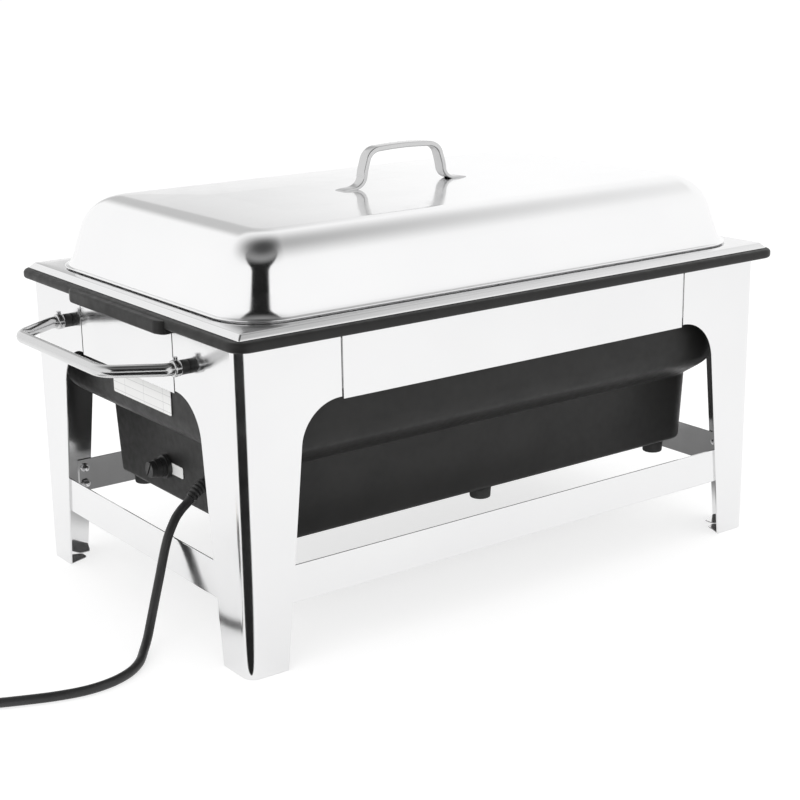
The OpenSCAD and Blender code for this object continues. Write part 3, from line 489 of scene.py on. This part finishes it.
def make_plug():
    """Moulded plug lying on its back, pins up, the cord entering at its -X end."""
    levels = [(0, 9), (0.4, 4.4), (1.8, 2.2), (4, 1.0), (8, 0.3), (12, 0), (15.5, 0.1), (17.4, 0.7),
              (18.9, 1.6), (19.7, 2.8), (20, 4.4)]
    rings = []
    for z, inset in levels:
        rings.append([(x, y, z) for x, y, _ in
                      rect_ring(50 - 2 * inset, 46 - 2 * inset, (14, 9, 9, 14), 0, 10)])
    body = loft(rings)
    sleeve_path = [(-21, 0, 10), (-24.4, 0, 10)]
    sleeve = tube(sleeve_path, [5.4, 4.7], 24)
    ribs = []
    for k in range(4):
        x = -12 + 6.5 * k
        for side in (-1, 1):
            ribs.append(block((x, side * 22.6 - 0.5, 5), (x + 2.6, side * 22.6 + 0.5, 15.5)))
    o = mesh_object("plug_shell", *moved(joined([body, sleeve] + ribs), PLUG_AT), sharp=35)
    soften(o, 0.3)
    finish_piece(o, "base", PLUG, ("plug_body",))
    return o


plug = make_plug()
NODES["plug_pins"].data.materials.clear()
NODES["plug_pins"].data.materials.append(BRASS)

# ---------------------------------------------------------------- stand

STAND_W, STAND_D, STAND_H, SHEET = 554.0, 352.0, 262.0, 1.5
BEND_R, PANEL_W, LEG_W, FOOT_W, SIDE_EXTRA = 10.0, 92.5, 54.0, 36.0, 3.0
APRON_Z, ARCH_TOP, ARCH_R, SEAM = 210.0, 212.0, 37.0, 1.2
ARCH_Z = ARCH_TOP - ARCH_R
TAPER = math.atan((LEG_W - FOOT_W) / ARCH_Z)
ARCH_U = LEG_W + ARCH_R / math.cos(TAPER)
RAIL_Z, RAIL_H, RAIL_END = 54.0, 31.0, 31.0


def leg_columns():
    """(distance from the corner, lower edge) from the plate's free edge to its bend."""
    cols = [(PANEL_W, ARCH_TOP), (ARCH_U, ARCH_TOP)]
    for i in range(1, 25):
        a = math.radians(90) + (math.radians(90) - TAPER) * i / 24
        cols.append((ARCH_U + ARCH_R * math.cos(a), ARCH_Z + ARCH_R * math.sin(a)))
    cols += [(FOOT_W, 0), (BEND_R, 0)]
    return cols


def leg_part():
    """One leg with its corner at the origin, plates along +X and +Y."""
    cols = [((u, 0), (0, -1), z) for u, z in leg_columns()]
    for i in range(1, 12):
        a = math.radians(270 - 90 * i / 12)
        n = (math.cos(a), math.sin(a))
        cols.append(((BEND_R + BEND_R * n[0], BEND_R + BEND_R * n[1]), n, 0))
    cols += [((0, u + (SIDE_EXTRA if u > BEND_R else 0)), (-1, 0), z) for u, z in reversed(leg_columns())]
    rings = []
    for (x, y), (nx, ny), z in cols:
        ix, iy = x - nx * SHEET, y - ny * SHEET
        rings.append([(x, y, z), (x, y, STAND_H), (ix, iy, STAND_H), (ix, iy, z)])
    plate = loft(rings)
    tabs = []
    for flip in (0, 1):
        mid = FOOT_W - 12 + (SIDE_EXTRA if flip else 0)
        half = [(12, 0.7), (11.6, 2.4), (9.4, 8), (6.4, 17), (5, 19.2), (3.2, 20)]
        outline = [(mid + w, y) for w, y in half] + [(mid - w, y) for w, y in reversed(half)]
        v, f = extruded(outline, 0, SHEET)
        tabs.append(([(y, x, z) for x, y, z in v], f) if flip else (v, f))
    return joined([plate] + tabs)


def at_corner(part, sx, sy):
    """Mirrors a part made at the corner (-X, -Y) to another corner."""
    v, f = part
    return [(-sx * (x - STAND_W / 2), -sy * (y - STAND_D / 2), z) for x, y, z in v], f


def make_legs():
    for name, sx, sy in (("front_left", -1, -1), ("front_right", 1, -1),
                         ("rear_left", -1, 1), ("rear_right", 1, 1)):
        o = mesh_object("leg_plate_" + name, *at_corner(leg_part(), sx, sy), sharp=40)
        soften(o, 0.35)
        finish_piece(o, "base", STEEL, ("leg_" + name,))


def side_turn(name):
    half = {"front": STAND_D, "rear": STAND_D, "left": STAND_W, "right": STAND_W}[name] / 2
    angle = {"front": 0, "right": 90, "rear": 180, "left": -90}[name]
    return Matrix.Rotation(math.radians(angle), 4, "Z") @ Matrix.Translation((0, -half, 0))


def make_bands():
    front = STAND_W - 2 * PANEL_W - 2 * SEAM
    side = STAND_D - 2 * (PANEL_W + SIDE_EXTRA) - 2 * SEAM
    for name in ("front", "rear", "left", "right"):
        long_side = name in ("front", "rear")
        length = front if long_side else side
        parts = [block((-length / 2, 0, APRON_Z), (length / 2, SHEET, STAND_H)),
                 block((-length / 2 + 0.4, SHEET - 0.2, STAND_H - SHEET),
                       (length / 2 - 0.4, SHEET + 4, STAND_H - 0.1))]
        for s in (-1, 1):
            x = s * length / 2
            parts.append(block((x - 14, SHEET, APRON_Z + 8), (x + 14, 2 * SHEET, STAND_H - 4)))
        o = mesh_object("apron_band_" + name, *moved(joined(parts), side_turn(name)), sharp=40)
        soften(o, 0.3)
        finish_piece(o, "base", STEEL, ("apron_" + name,))
        length = (STAND_W if long_side else STAND_D) - 2 * RAIL_END
        bar = block((-length / 2, SHEET, RAIL_Z), (length / 2, 2 * SHEET, RAIL_Z + RAIL_H))
        o = mesh_object("rail_bar_" + name, *moved(bar, side_turn(name)), sharp=40)
        soften(o, 0.35)
        finish_piece(o, "base", STEEL, ("rail_" + name,))


make_legs()
make_bands()

# ---------------------------------------------------------------- side handles

TUBE_R, POST_Y, HANDLE_Z, REACH = 5.0, 102.0, 236.5, 58.5
HANDLE_BEND, NECK_BEND, LEAN = 20.0, 14.0, math.radians(33)
SPACER_L, FERRULE_L = 7.0, 6.0


def handle_path():
    """Centre line of a handle from its front post to its rear one, out along +X from the leg plate."""
    neck = SPACER_L + FERRULE_L
    lean_u = neck + NECK_BEND * math.sin(LEAN)
    lean_v = POST_Y - NECK_BEND * (1 - math.cos(LEAN))
    turn_u = REACH - HANDLE_BEND * (1 - math.sin(LEAN))
    turn_v = lean_v - (turn_u - lean_u) * math.tan(LEAN)
    half = [(SPACER_L, POST_Y), (neck - 1, POST_Y)]
    for i in range(9):
        a = math.radians(90) - LEAN * i / 8
        half.append((neck + NECK_BEND * math.cos(a), POST_Y - NECK_BEND + NECK_BEND * math.sin(a)))
    centre = (REACH - HANDLE_BEND, turn_v - HANDLE_BEND * math.cos(LEAN))
    for i in range(17):
        a = (math.radians(90) - LEAN) * (1 - i / 16)
        half.append((centre[0] + HANDLE_BEND * math.cos(a), centre[1] + HANDLE_BEND * math.sin(a)))
    return half + [(u, -v) for u, v in reversed(half)]


def post_turn(sx, sy):
    """Z of the part points away from the leg plate at a post."""
    return (Matrix.Translation((sx * STAND_W / 2, sy * POST_Y, HANDLE_Z))
            @ Matrix.Rotation(math.radians(sx * 90), 4, "Y"))


def make_handles():
    for name, sx in (("left", -1), ("right", 1)):
        path = [(sx * (STAND_W / 2 + u), v, HANDLE_Z) for u, v in handle_path()]
        o = mesh_object("handle_tube_" + name, *tube(path, TUBE_R, 36), sharp=50)
        finish_piece(o, "base", HANDLE, ("handle_" + name,))
    r = TUBE_R + 1.6
    ferrule = [(TUBE_R - 0.2, 0), (r - 0.7, 0), (r - 0.2, 0.2), (r, 0.7), (r, FERRULE_L - 0.9),
               (r - 0.25, FERRULE_L - 0.3), (r - 0.9, FERRULE_L), (TUBE_R - 0.2, FERRULE_L)]
    r = TUBE_R + 0.8
    spacer = [(3, 0), (r - 0.6, 0), (r - 0.15, 0.15), (r, 0.6), (r, SPACER_L - 0.6),
              (r - 0.15, SPACER_L - 0.15), (r - 0.6, SPACER_L), (3, SPACER_L)]
    corners = [post_turn(sx, sy) for sx in (-1, 1) for sy in (-1, 1)]
    up = Matrix.Translation((0, 0, SPACER_L))
    o = mesh_object("post_ferrules", *joined([lathe(ferrule, 48, t @ up) for t in corners]), sharp=60)
    finish_piece(o, "base", HANDLE, ("handle_ferrules",))
    o = mesh_object("post_spacers", *joined([lathe(spacer, 48, t) for t in corners]), sharp=60)
    finish_piece(o, "base", PLASTIC, ("handle_spacers",))


make_handles()

# ---------------------------------------------------------------- housing

RIM_W, RIM_D, RIM_H, RIM_Z = 576.0, 376.0, 8.0, 262.0
BASE_Z, WALL = 84.0, 3.0
LOWER = (7.0, 481.0, 259.0, 10.0, 26.0)  # shift, length, depth, left radius, right radius
UPPER = (-1.0, 530.0, 320.0, 14.0, 42.0)
HOUSING_SHARP = 38
RESET_HOLE, GLAND_HOLE = (32, 112, 5), (-54, 121, 6)  # y, z, radius
DRILL_REACH, DRILL_SIDES = 15, 32


def section(shape, inset, z, n=10):
    shift, w, d, left, right = shape
    rr, rl = max(right - inset, 1.0), max(left - inset, 1.0)
    return rect_ring(w - 2 * inset, d - 2 * inset, (rr, rl, rl, rr), z, n, UNIT_X + shift)


def between(t, grow=0.0):
    """Section shape part way from the lower box to the upper one."""
    s = [a + (b - a) * t for a, b in zip(LOWER, UPPER)]
    return (s[0], s[1] + 2 * grow, s[2] + 2 * grow, s[3], s[4])


def housing_rings():
    rings = []
    # outside, from the underside's edge upwards
    for i in range(7):
        a = math.radians(90 * i / 6)
        rings.append(section(between(0), 3.2 + 4.0 * (1 - math.sin(a)), BASE_Z + 4.0 * (1 - math.cos(a))))
    rings.append(section(between(0), 1.5, 118))
    profile = [(0, 0, 146), (0, 0, 149), (0.67, 0, 162), (0.92, 0, 169), (1.0, 0, 179), (1.0, 0, 200)]
    profile = [(t * 30, 0, z) for t, _, z in profile]
    for p in rounded_path(profile, [0, 2.2, 4, 4, 6, 0], 5):
        rings.append(section(between(p[0] / 30), 0, p[2]))
    rings.append(section(between(1, 1.6), 0, RIM_Z - 2.4))
    rings.append(section(between(1, 2.2), 0, RIM_Z - 0.6))

    def rim(inset, z, r=15.0):
        return rect_ring(RIM_W - 2 * inset, RIM_D - 2 * inset, max(r - inset, 1.0), z, 10, UNIT_X)

    rings.append(rim(16.5, RIM_Z, 46.0))
    rings.append(rim(3.4, RIM_Z))
    for i in range(7):
        a = math.radians(-90 + 90 * i / 6)
        rings.append(rim(2.6 - 2.6 * math.cos(a), RIM_Z + 2.6 + 2.6 * math.sin(a)))
    for i in range(7):
        a = math.radians(90 * i / 6)
        rings.append(rim(3.4 - 3.4 * math.cos(a), RIM_Z + RIM_H - 3.4 + 3.4 * math.sin(a)))
    rings.append(rim(26.5, RIM_Z + RIM_H, 50.0))
    # inside, downwards
    rings.append(section(between(1), WALL, RIM_Z))
    rings.append(section(between(1), WALL, 178))
    rings.append(section(between(0), WALL, 148))
    rings.append(section(between(0), WALL + 4.5, BASE_Z))
    return rings


def grip_part(side):
    """Thicker ledge at the rim's end, with rounded ends."""
    outline = [(RIM_W / 2 - 7, -82), (RIM_W / 2 - 0.3, -82), (RIM_W / 2 + 2.6, -79.5), (RIM_W / 2 + 5, -73),
               (RIM_W / 2 + 5, 73), (RIM_W / 2 + 2.6, 79.5), (RIM_W / 2 - 0.3, 82), (RIM_W / 2 - 7, 82)]
    v, f = extruded(outline, RIM_Z - 4, RIM_Z + RIM_H - 1)
    return [(UNIT_X + side * x, y, z) for x, y, z in v], f


def drill(o, *holes):
    """Cuts round holes along X through the housing's left end, from (y, z, radius) of each."""
    x = UNIT_X + LOWER[0] - LOWER[1] / 2
    lying = Matrix.Rotation(math.pi / 2, 4, "Y")
    bits = [lathe([(r, -DRILL_REACH), (r, DRILL_REACH)], DRILL_SIDES,
                  Matrix.Translation((x, y, z)) @ lying) for y, z, r in holes]
    bit = mesh_object("drill_bit", *joined(bits))
    cut = o.modifiers.new("holes", "BOOLEAN")
    cut.operation = "DIFFERENCE"
    cut.solver = "EXACT"
    cut.object = bit
    bpy.context.view_layer.update()
    o.data = bpy.data.meshes.new_from_object(o.evaluated_get(bpy.context.evaluated_depsgraph_get()))
    o.modifiers.clear()
    bpy.data.objects.remove(bit)
    o.data.polygons.foreach_set("use_smooth", [True] * len(o.data.polygons))
    o.data.set_sharp_from_angle(angle=math.radians(HOUSING_SHARP))


def make_housing():
    o = mesh_object("housing_shell", *loft(housing_rings(), closed=True), sharp=HOUSING_SHARP)
    drill(o, RESET_HOLE, GLAND_HOLE)
    finish_piece(o, "base", HOUSING, ("outer_housing",))
    g = mesh_object("hand_grips", *joined([grip_part(-1), grip_part(1)]), sharp=50)
    soften(g, 3.0, 5, 20)
    finish_piece(g, "base", HOUSING)
    foot = [(3.9, -11), (8.2, -11), (8.9, -10.6), (9.2, -9.8), (9.6, -4), (10, -0.6), (9.6, 0), (3, 0.2)]
    spots = [Matrix.Translation((UNIT_X + x, y, BASE_Z)) for x in (-213, -1, 211) for y in (-112, 112)]
    f = mesh_object("rubber_foot_set", *joined([lathe(foot, 40, t) for t in spots]), sharp=50)
    finish_piece(f, "base", RUBBER_FEET, ("housing_feet",))


make_housing()

# ---------------------------------------------------------------- pans

FLANGE_W, FLANGE_D, BEVEL, FLANGE_TOP = 562.0, 361.0, 4.0, 275.0
FOOD_TOP = 276.0


def solid_sheet(o, thickness, offset=-1.0):
    s = o.modifiers.new("sheet", "SOLIDIFY")
    s.thickness = thickness * MM
    s.offset = offset
    s.use_even_offset = True
    return o


def unit_ring(w, d, r, z, n=10):
    return rect_ring(w, d, r, z, n, UNIT_X)


def pan_wall(w, d, r, low_w, low_d, low_r, top, low, edge, mouth):
    """Rings from a pan's mouth, rounded over by mouth, down its walls and round into its floor."""
    rings = []
    for i in range(6):
        a = math.radians(90 * i / 5)
        k = mouth * (1 - math.sin(a))
        rings.append(unit_ring(w + 2 * k, d + 2 * k, r + k, top - mouth * (1 - math.cos(a))))
    for i in range(9):
        a = math.radians(90 * i / 8)
        k = edge * (1 - math.cos(a))
        rings.append(unit_ring(low_w - 2 * k, low_d - 2 * k, max(low_r - k, 4),
                               low + edge * (1 - math.sin(a))))
    rings.append(unit_ring(low_w - 2 * edge - 60, low_d - 2 * edge - 60, 4, low))
    return rings


def make_pans():
    rings = [unit_ring(FLANGE_W, FLANGE_D, 1.6, 270.0),
             unit_ring(FLANGE_W - 0.1, FLANGE_D - 0.1, 1.6, 270.6)]
    for i in range(5):
        t = i / 4
        rings.append(unit_ring(FLANGE_W - 0.6 - 2 * (BEVEL - 0.9) * t,
                               FLANGE_D - 0.6 - 2 * (BEVEL - 0.9) * t, 1.5, 271.1 + 3.4 * t))
    rings.append(unit_ring(FLANGE_W - 2 * BEVEL - 0.4, FLANGE_D - 2 * BEVEL - 0.4, 1.3, 274.9))
    rings.append(unit_ring(FLANGE_W - 2 * BEVEL - 1.6, FLANGE_D - 2 * BEVEL - 1.6, 1.2, FLANGE_TOP))
    rings.append(unit_ring(535, 331, 40, FLANGE_TOP))
    rings += pan_wall(511, 305, 44, 495, 289, 40, FLANGE_TOP, 171.0, 14, 4)
    o = mesh_object("water_pan_sheet", *loft(rings, cap_first=False), sharp=45)
    solid_sheet(o, 1.0, -1.0)
    finish_piece(o, "base", PAN, ("water_pan",))
    rings = [unit_ring(530, 325, 40, 275.3), unit_ring(530, 325, 40, 275.7), unit_ring(529, 324, 39.5, 276)]
    rings += pan_wall(503, 297, 42, 479, 273, 35, FOOD_TOP, 212.0, 15, 4)
    o = mesh_object("food_pan_sheet", *loft(rings, cap_first=False), sharp=45)
    solid_sheet(o, 0.9, -1.0)
    finish_piece(o, "food_pan", PAN, ("food_pan",))


make_pans()

# ---------------------------------------------------------------- lid

LID_W, LID_D, LID_CORNER, LID_H, LID_DRAFT, LID_T = 530.0, 324.0, 42.0, 61.0, 0.3, 1.0
LID_WALL_H = LID_H * 0.58
WALL_ANGLE = math.radians(90) - math.atan(LID_DRAFT)
LID_ARC_R = (LID_H - LID_WALL_H) / (1 - math.cos(WALL_ANGLE))


def lid_profile():
    """(inset, height) from the wall's foot over the rounded shoulder to the flat top."""
    pts = [(LID_DRAFT * h, h) for h in (0.8, 8, 16, 24, LID_WALL_H)]
    for i in range(1, 29):
        a = WALL_ANGLE * (1 - i / 28)
        pts.append((LID_DRAFT * LID_WALL_H + LID_ARC_R * (math.sin(WALL_ANGLE) - math.sin(a)),
                    LID_WALL_H + LID_ARC_R * (math.cos(a) - math.cos(WALL_ANGLE))))
    return pts


def lid_ring(inset, h, shrink=0.0):
    r = LID_CORNER - shrink - inset * 0.65
    return rect_ring(LID_W - 2 * (inset + shrink), LID_D - 2 * (inset + shrink), r,
                     FOOD_TOP + h - (shrink if h > 30 else 0), 16, UNIT_X)


def make_lid():
    prof = lid_profile()
    last = prof[-1][0]
    outside = [lid_ring(i, h) for i, h in prof] + [
        lid_ring(last + 4, LID_H + 0.05), lid_ring(last + 30, LID_H + 0.25), lid_ring(last + 60, LID_H + 0.4)]
    inside = [lid_ring(i, h, LID_T) for i, h in prof] + [
        lid_ring(last + 4, LID_H, LID_T), lid_ring(last + 60, LID_H + 0.35, LID_T)]
    rim = []
    for i in range(7):
        a = math.radians(-90 + 180 * i / 6)
        grow = 3.5 + 0.5 * math.cos(a)
        rim.append(rect_ring(LID_W + 2 * grow, LID_D + 2 * grow, LID_CORNER + grow,
                             FOOD_TOP + 0.55 + 0.5 * math.sin(a), 16, UNIT_X))
    fillet = [rect_ring(LID_W + 2 * g, LID_D + 2 * g, LID_CORNER + g, FOOD_TOP + z, 16, UNIT_X)
              for g, z in ((1.6, 1.06), (0.7, 1.2), (0.1, 1.7))]
    foot = [rect_ring(LID_W + 2, LID_D + 2, LID_CORNER + 1, FOOD_TOP + 0.05, 16, UNIT_X)]
    rings = inside[::-1] + foot + rim + fillet + outside[1:]
    o = mesh_object("lid_dome", *loft(rings), sharp=60)
    finish_piece(o, "lid", LID, ("lid_shell",))


GRIP_W, STRAP_W, STRAP_T, STRAP_H, FOOT_T, STRAP_SHIFT = 136.0, 12.0, 4.5, 35.0, 2.4, 1.0


def strap_line():
    """(distance from the middle, height, thickness) along half of the strap handle."""
    pts = [(0, STRAP_H, STRAP_T), (14, STRAP_H - 0.3, STRAP_T)]
    for a in range(90, 5, -10):
        r = math.radians(a)
        pts.append((26.5 + 14 * math.cos(r), STRAP_H - 13 + 12 * math.sin(r), STRAP_T))
    pts.append((42.5, 17, STRAP_T))
    for a in range(180, 271, 15):
        r = math.radians(a)
        t = STRAP_T - (STRAP_T - FOOT_T) * (a - 180) / 90
        pts.append((GRIP_W / 2 - 12 + 12.5 * math.cos(r), 12 + (12 - FOOT_T / 2) * math.sin(r), t))
    pts += [(GRIP_W / 2 - 6, FOOT_T * 0.4, FOOT_T * 0.8), (GRIP_W / 2, 0.5, 1.0)]
    return pts


def make_lid_handle():
    half = catmull(strap_line(), 3)
    line = [Vector((-p[0], p[1], p[2])) for p in reversed(half[1:])] + half
    rings = []
    n = len(line)
    for i, p in enumerate(line):
        a, b = line[max(i - 1, 0)], line[min(i + 1, n - 1)]
        run = Vector((b[0] - a[0], b[1] - a[1])).normalized()
        nx, nz = -run[1], run[0]
        t = p[2]
        edge = min(1.1, t * 0.42)
        ring = []
        for q in rect_ring(STRAP_W, t, edge, 0, 5):
            ring.append((UNIT_X + STRAP_SHIFT + p[0] + nx * q[1], q[0],
                         FOOD_TOP + LID_H + max(p[1] + nz * q[1], 0.02)))
        rings.append(ring)
    o = mesh_object("lid_strap", *loft(rings), sharp=60)
    finish_piece(o, "lid", STRAP, ("lid_handle",))


make_lid()
make_lid_handle()

# ---------------------------------------------------------------- left end: gland and labels

BOOT = [(-232, -54, 121), (-238, -54, 120.6), (-244, -54.4, 119), (-249.4, -55, 116.2),
        (-254, -55.5, 112.8)]


def make_gland():
    end = UNIT_X + LOWER[0] - LOWER[1] / 2
    path = catmull(BOOT, 8)
    n = len(path)
    radius = []
    for i in range(n):
        t = i / (n - 1)
        r = 7.0 + (4.55 - 7.0) * t
        radius.append(r - (0.55 if 0.12 < t < 0.93 and (i // 2) % 2 else 0.0))
    boot = tube(path, radius, 28)
    to_left = Matrix.Translation((end, -54, 121)) @ Matrix.Rotation(math.radians(-90), 4, "Y")
    disc = lathe([(6, -1), (8.9, -1), (9.1, 0.6), (9.0, 2.0), (8.2, 2.9), (6, 3.0)], 40, to_left)
    to_right = Matrix.Translation((end, -54, 121)) @ Matrix.Rotation(math.radians(90), 4, "Y")
    inside = lathe([(4, 0), (5.9, 0), (5.9, 6.1), (9, 6.1),
                   (9, 11), (5.9, 11.2), (5.9, 13), (4, 13)], 6, to_right)
    o = mesh_object("cord_boot", *joined([boot, disc, inside]), sharp=40)
    finish_piece(o, "base", PLASTIC, ("cord_gland",))


def make_label(name, node, material):
    lo, hi = (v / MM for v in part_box(node))
    y, z = (lo.y + hi.y) / 2, (lo.z + hi.z) / 2
    ring = rect_ring(hi.y - lo.y, hi.z - lo.z, 1.6, 0, 6, y, z)
    small = rect_ring(hi.y - lo.y - 0.3, hi.z - lo.z - 0.3, 1.5, 0, 6, y, z)
    rings = [[(x, p[0], p[1]) for p in pts] for x, pts in ((hi.x, ring), (lo.x + 0.12, ring), (lo.x, small))]
    o = mesh_object(name, *loft(rings), sharp=30)
    finish_piece(o, "base", material, (node,))


make_gland()
make_label("reset_film", "reset_label", LABEL_PLAIN)
make_label("rating_film", "rating_label", LABEL)

# ---------------------------------------------------------------- carried-over CAD pieces

CARRIED = {
    BOLTS: ("rail_studs", "rail_nuts", "apron_studs", "apron_nuts", "handle_screws", "handle_grub_screws",
            "base_screws", "pan_screws", "pan_nuts", "pan_studs", "clamp_nuts", "lid_handle_nuts"),
    HOUSING: ("base_cover",),
    SILICONE: ("pan_gasket",),
    ALUMINIUM: ("heat_spreader", "element_clamps"),
    SHIELD: ("heat_shield",),
    SHEATH: ("heating_element",),
    CERAMIC: ("thermostat", "thermal_cutout"),
    RED: ("reset_button", "fuse_carrier"),
    PLASTIC: ("reset_collar", "reset_cap"),
    IVORY: ("terminal_block",),
    SLEEVE: ("internal_wires",),
}
for material, names in CARRIED.items():
    for name in names:
        data = NODES[name].data
        data.materials.clear()
        data.materials.append(material)

# ---------------------------------------------------------------- studio


def make_floor():
    me = bpy.data.meshes.new("floor")
    s = 40.0
    me.from_pydata([(-s, -s, -0.0003), (s, -s, -0.0003), (s, s, -0.0003), (-s, s, -0.0003)], [],
                   [[0, 1, 2, 3]])
    o = bpy.data.objects.new("floor", me)
    bpy.context.scene.collection.objects.link(o)
    m = Mat("floor_paper", rough=0.9)
    m.b.inputs["Specular IOR Level"].default_value = 0.0
    m.color(m.noise(3.0, 2.0), (0.44, 0.44, 0.44), (0.45, 0.45, 0.45))
    m.b.inputs["Emission Color"].default_value = (1, 1, 1, 1)
    m.b.inputs["Emission Strength"].default_value = 0.7
    me.materials.append(m.m)


def make_card(name, rows, shade, fade):
    """A soft-edged studio card that only reflections see.

    rows is a grid of points; fade holds the widths of the soft edges (left, right, first row, last row)
    as parts of the whole card, and the card's greatest opacity.
    """
    n, m = len(rows), len(rows[0])
    me = bpy.data.meshes.new(name)
    faces = [[i * m + k, i * m + k + 1, (i + 1) * m + k + 1, (i + 1) * m + k]
             for i in range(n - 1) for k in range(m - 1)]
    me.from_pydata([tuple(p) for r in rows for p in r], [], faces)
    uv = me.uv_layers.new(name="card")
    for loop in me.loops:
        i, k = divmod(loop.vertex_index, m)
        uv.data[loop.index].uv = (k / (m - 1), i / (n - 1))
    o = bpy.data.objects.new(name, me)
    bpy.context.scene.collection.objects.link(o)
    mat = bpy.data.materials.new(name)
    mat.use_nodes = True
    t = mat.node_tree
    t.nodes.clear()
    coord = t.nodes.new("ShaderNodeTexCoord")
    sep = t.nodes.new("ShaderNodeSeparateXYZ")
    t.links.new(coord.outputs["UV"], sep.inputs["Vector"])
    total = None
    for axis, near, far in (("X", fade[0], fade[1]), ("Y", fade[2], fade[3])):
        for lo, hi in ((0.0, near), (1.0, 1.0 - far)):
            if lo == hi:
                continue
            r = t.nodes.new("ShaderNodeMapRange")
            r.interpolation_type = "SMOOTHSTEP"
            r.inputs["From Min"].default_value = lo
            r.inputs["From Max"].default_value = hi
            t.links.new(sep.outputs[axis], r.inputs["Value"])
            k = t.nodes.new("ShaderNodeMath")
            k.operation = "MULTIPLY"
            k.inputs[1].default_value = fade[4]
            if total is not None:
                t.links.new(total, k.inputs[1])
            t.links.new(r.outputs["Result"], k.inputs[0])
            total = k.outputs["Value"]
    e = t.nodes.new("ShaderNodeEmission")
    e.inputs["Color"].default_value = (shade, shade, shade, 1)
    clear = t.nodes.new("ShaderNodeBsdfTransparent")
    mix = t.nodes.new("ShaderNodeMixShader")
    t.links.new(total, mix.inputs["Fac"])
    t.links.new(clear.outputs["BSDF"], mix.inputs[1])
    t.links.new(e.outputs["Emission"], mix.inputs[2])
    q = t.nodes.new("ShaderNodeOutputMaterial")
    t.links.new(mix.outputs["Shader"], q.inputs["Surface"])
    me.materials.append(mat)
    for key in ("visible_camera", "visible_diffuse", "visible_shadow", "visible_transmission",
                "visible_volume_scatter"):
        setattr(o, key, False)
    return o


def dome_card(name, centre, azimuth, elevations, half_widths, reach, shade, fade):
    """A card that follows a dome round a centre; angles in degrees, azimuth from +Y toward +X."""
    rows = []
    for el, half in zip(elevations, half_widths):
        row = []
        for k in range(9):
            a, e = math.radians(azimuth + half * (k / 4 - 1)), math.radians(el)
            row.append(Vector(centre) + reach * Vector(
                (math.sin(a) * math.cos(e), math.cos(a) * math.cos(e), math.sin(e))))
        rows.append(row)
    return make_card(name, rows, shade, fade)


def make_world():
    w = bpy.data.worlds.new("studio")
    bpy.context.scene.world = w
    w.use_nodes = True
    t = w.node_tree
    t.nodes.clear()
    coord = t.nodes.new("ShaderNodeTexCoord")
    sep = t.nodes.new("ShaderNodeSeparateXYZ")
    ramp = t.nodes.new("ShaderNodeValToRGB")
    back = t.nodes.new("ShaderNodeBackground")
    out = t.nodes.new("ShaderNodeOutputWorld")
    t.links.new(coord.outputs["Generated"], sep.inputs["Vector"])
    t.links.new(sep.outputs["Z"], ramp.inputs["Fac"])
    ramp.color_ramp.interpolation = "B_SPLINE"
    stops = [(0.0, 1.0), (0.58, 1.0), (0.7, 0.86), (0.8, 0.66), (0.88, 0.4), (0.95, 0.14), (1.0, 0.05)]
    while len(ramp.color_ramp.elements) < len(stops):
        ramp.color_ramp.elements.new(0.5)
    for e, (p, v) in zip(ramp.color_ramp.elements, stops):
        e.position = p
        e.color = (v, v, v, 1)
    t.links.new(ramp.outputs["Color"], back.inputs["Color"])
    back.inputs["Strength"].default_value = 1.06
    t.links.new(back.outputs["Background"], out.inputs["Surface"])


def make_light(name, at, size, watts, reach=(0, 0, 0.15), glossy=False):
    d = bpy.data.lights.new(name, "AREA")
    d.shape = "RECTANGLE"
    d.size, d.size_y = size
    d.energy = watts
    o = bpy.data.objects.new(name, d)
    o.location = at
    o.rotation_mode = "QUATERNION"
    o.rotation_quaternion = (Vector(reach) - Vector(at)).to_track_quat("-Z", "Y")
    bpy.context.scene.collection.objects.link(o)
    o.visible_glossy = glossy
    return o


make_floor()
make_world()
CORNER = Vector((-0.277, -0.176, 0))
# a tall dark flag behind the camera, seen in the lid's near corner
dome_card("flag_tall", CORNER + Vector((0, 0, 0.3)), 216.26, (6, 16, 27, 36, 44, 52, 60, 70, 86),
          (24, 24, 25, 31, 45, 64, 86, 105, 130), 2.0, 0.008, (0.1, 0.1, 0.0, 0.52, 1.0))
# a dark fan on the floor in front of the near corner, seen in the bend of the near leg
fan = [[CORNER + Vector((reach * math.sin(math.radians(a)), reach * math.cos(math.radians(a)), 0.002))
        for a in (186, 200, 214, 228, 242, 256, 268, 278)] for reach in (0.001, 0.3, 0.6, 0.9, 1.3, 2.0)]
make_card("flag_low", fan, 0.012, (0.05, 0.07, 0.0, 0.0, 1.0))
# shade under the heater, seen in the inner faces of the rails and legs
shade = [[Vector((0.004 + x, y, 0.0015)) for x in (-0.25, -0.08, 0.08, 0.25)]
         for y in (-0.15, -0.05, 0.05, 0.15)]
make_card("shade_under", shade, 0.05, (0.12, 0.12, 0.15, 0.15, 0.8))
# a light grey patch beyond the server, seen in the lid's top
dome_card("patch_far", (0, 0, 0.33), 22.0, (4, 9, 14, 20, 28, 36, 44),
          (20, 20, 20, 20, 22, 24, 26), 4.0, 0.3, (0.3, 0.45, 0.35, 0.35, 0.62))
make_light("overhead", (0.2, -0.2, 2.6), (2.6, 2.6), 20)
make_light("fill_left", (-2.4, -1.2, 1.6), (1.8, 1.8), 12)
bpy.context.scene.view_settings.view_transform = "Standard"
bpy.context.scene.view_settings.look = "None"

bpy.context.view_layer.update()
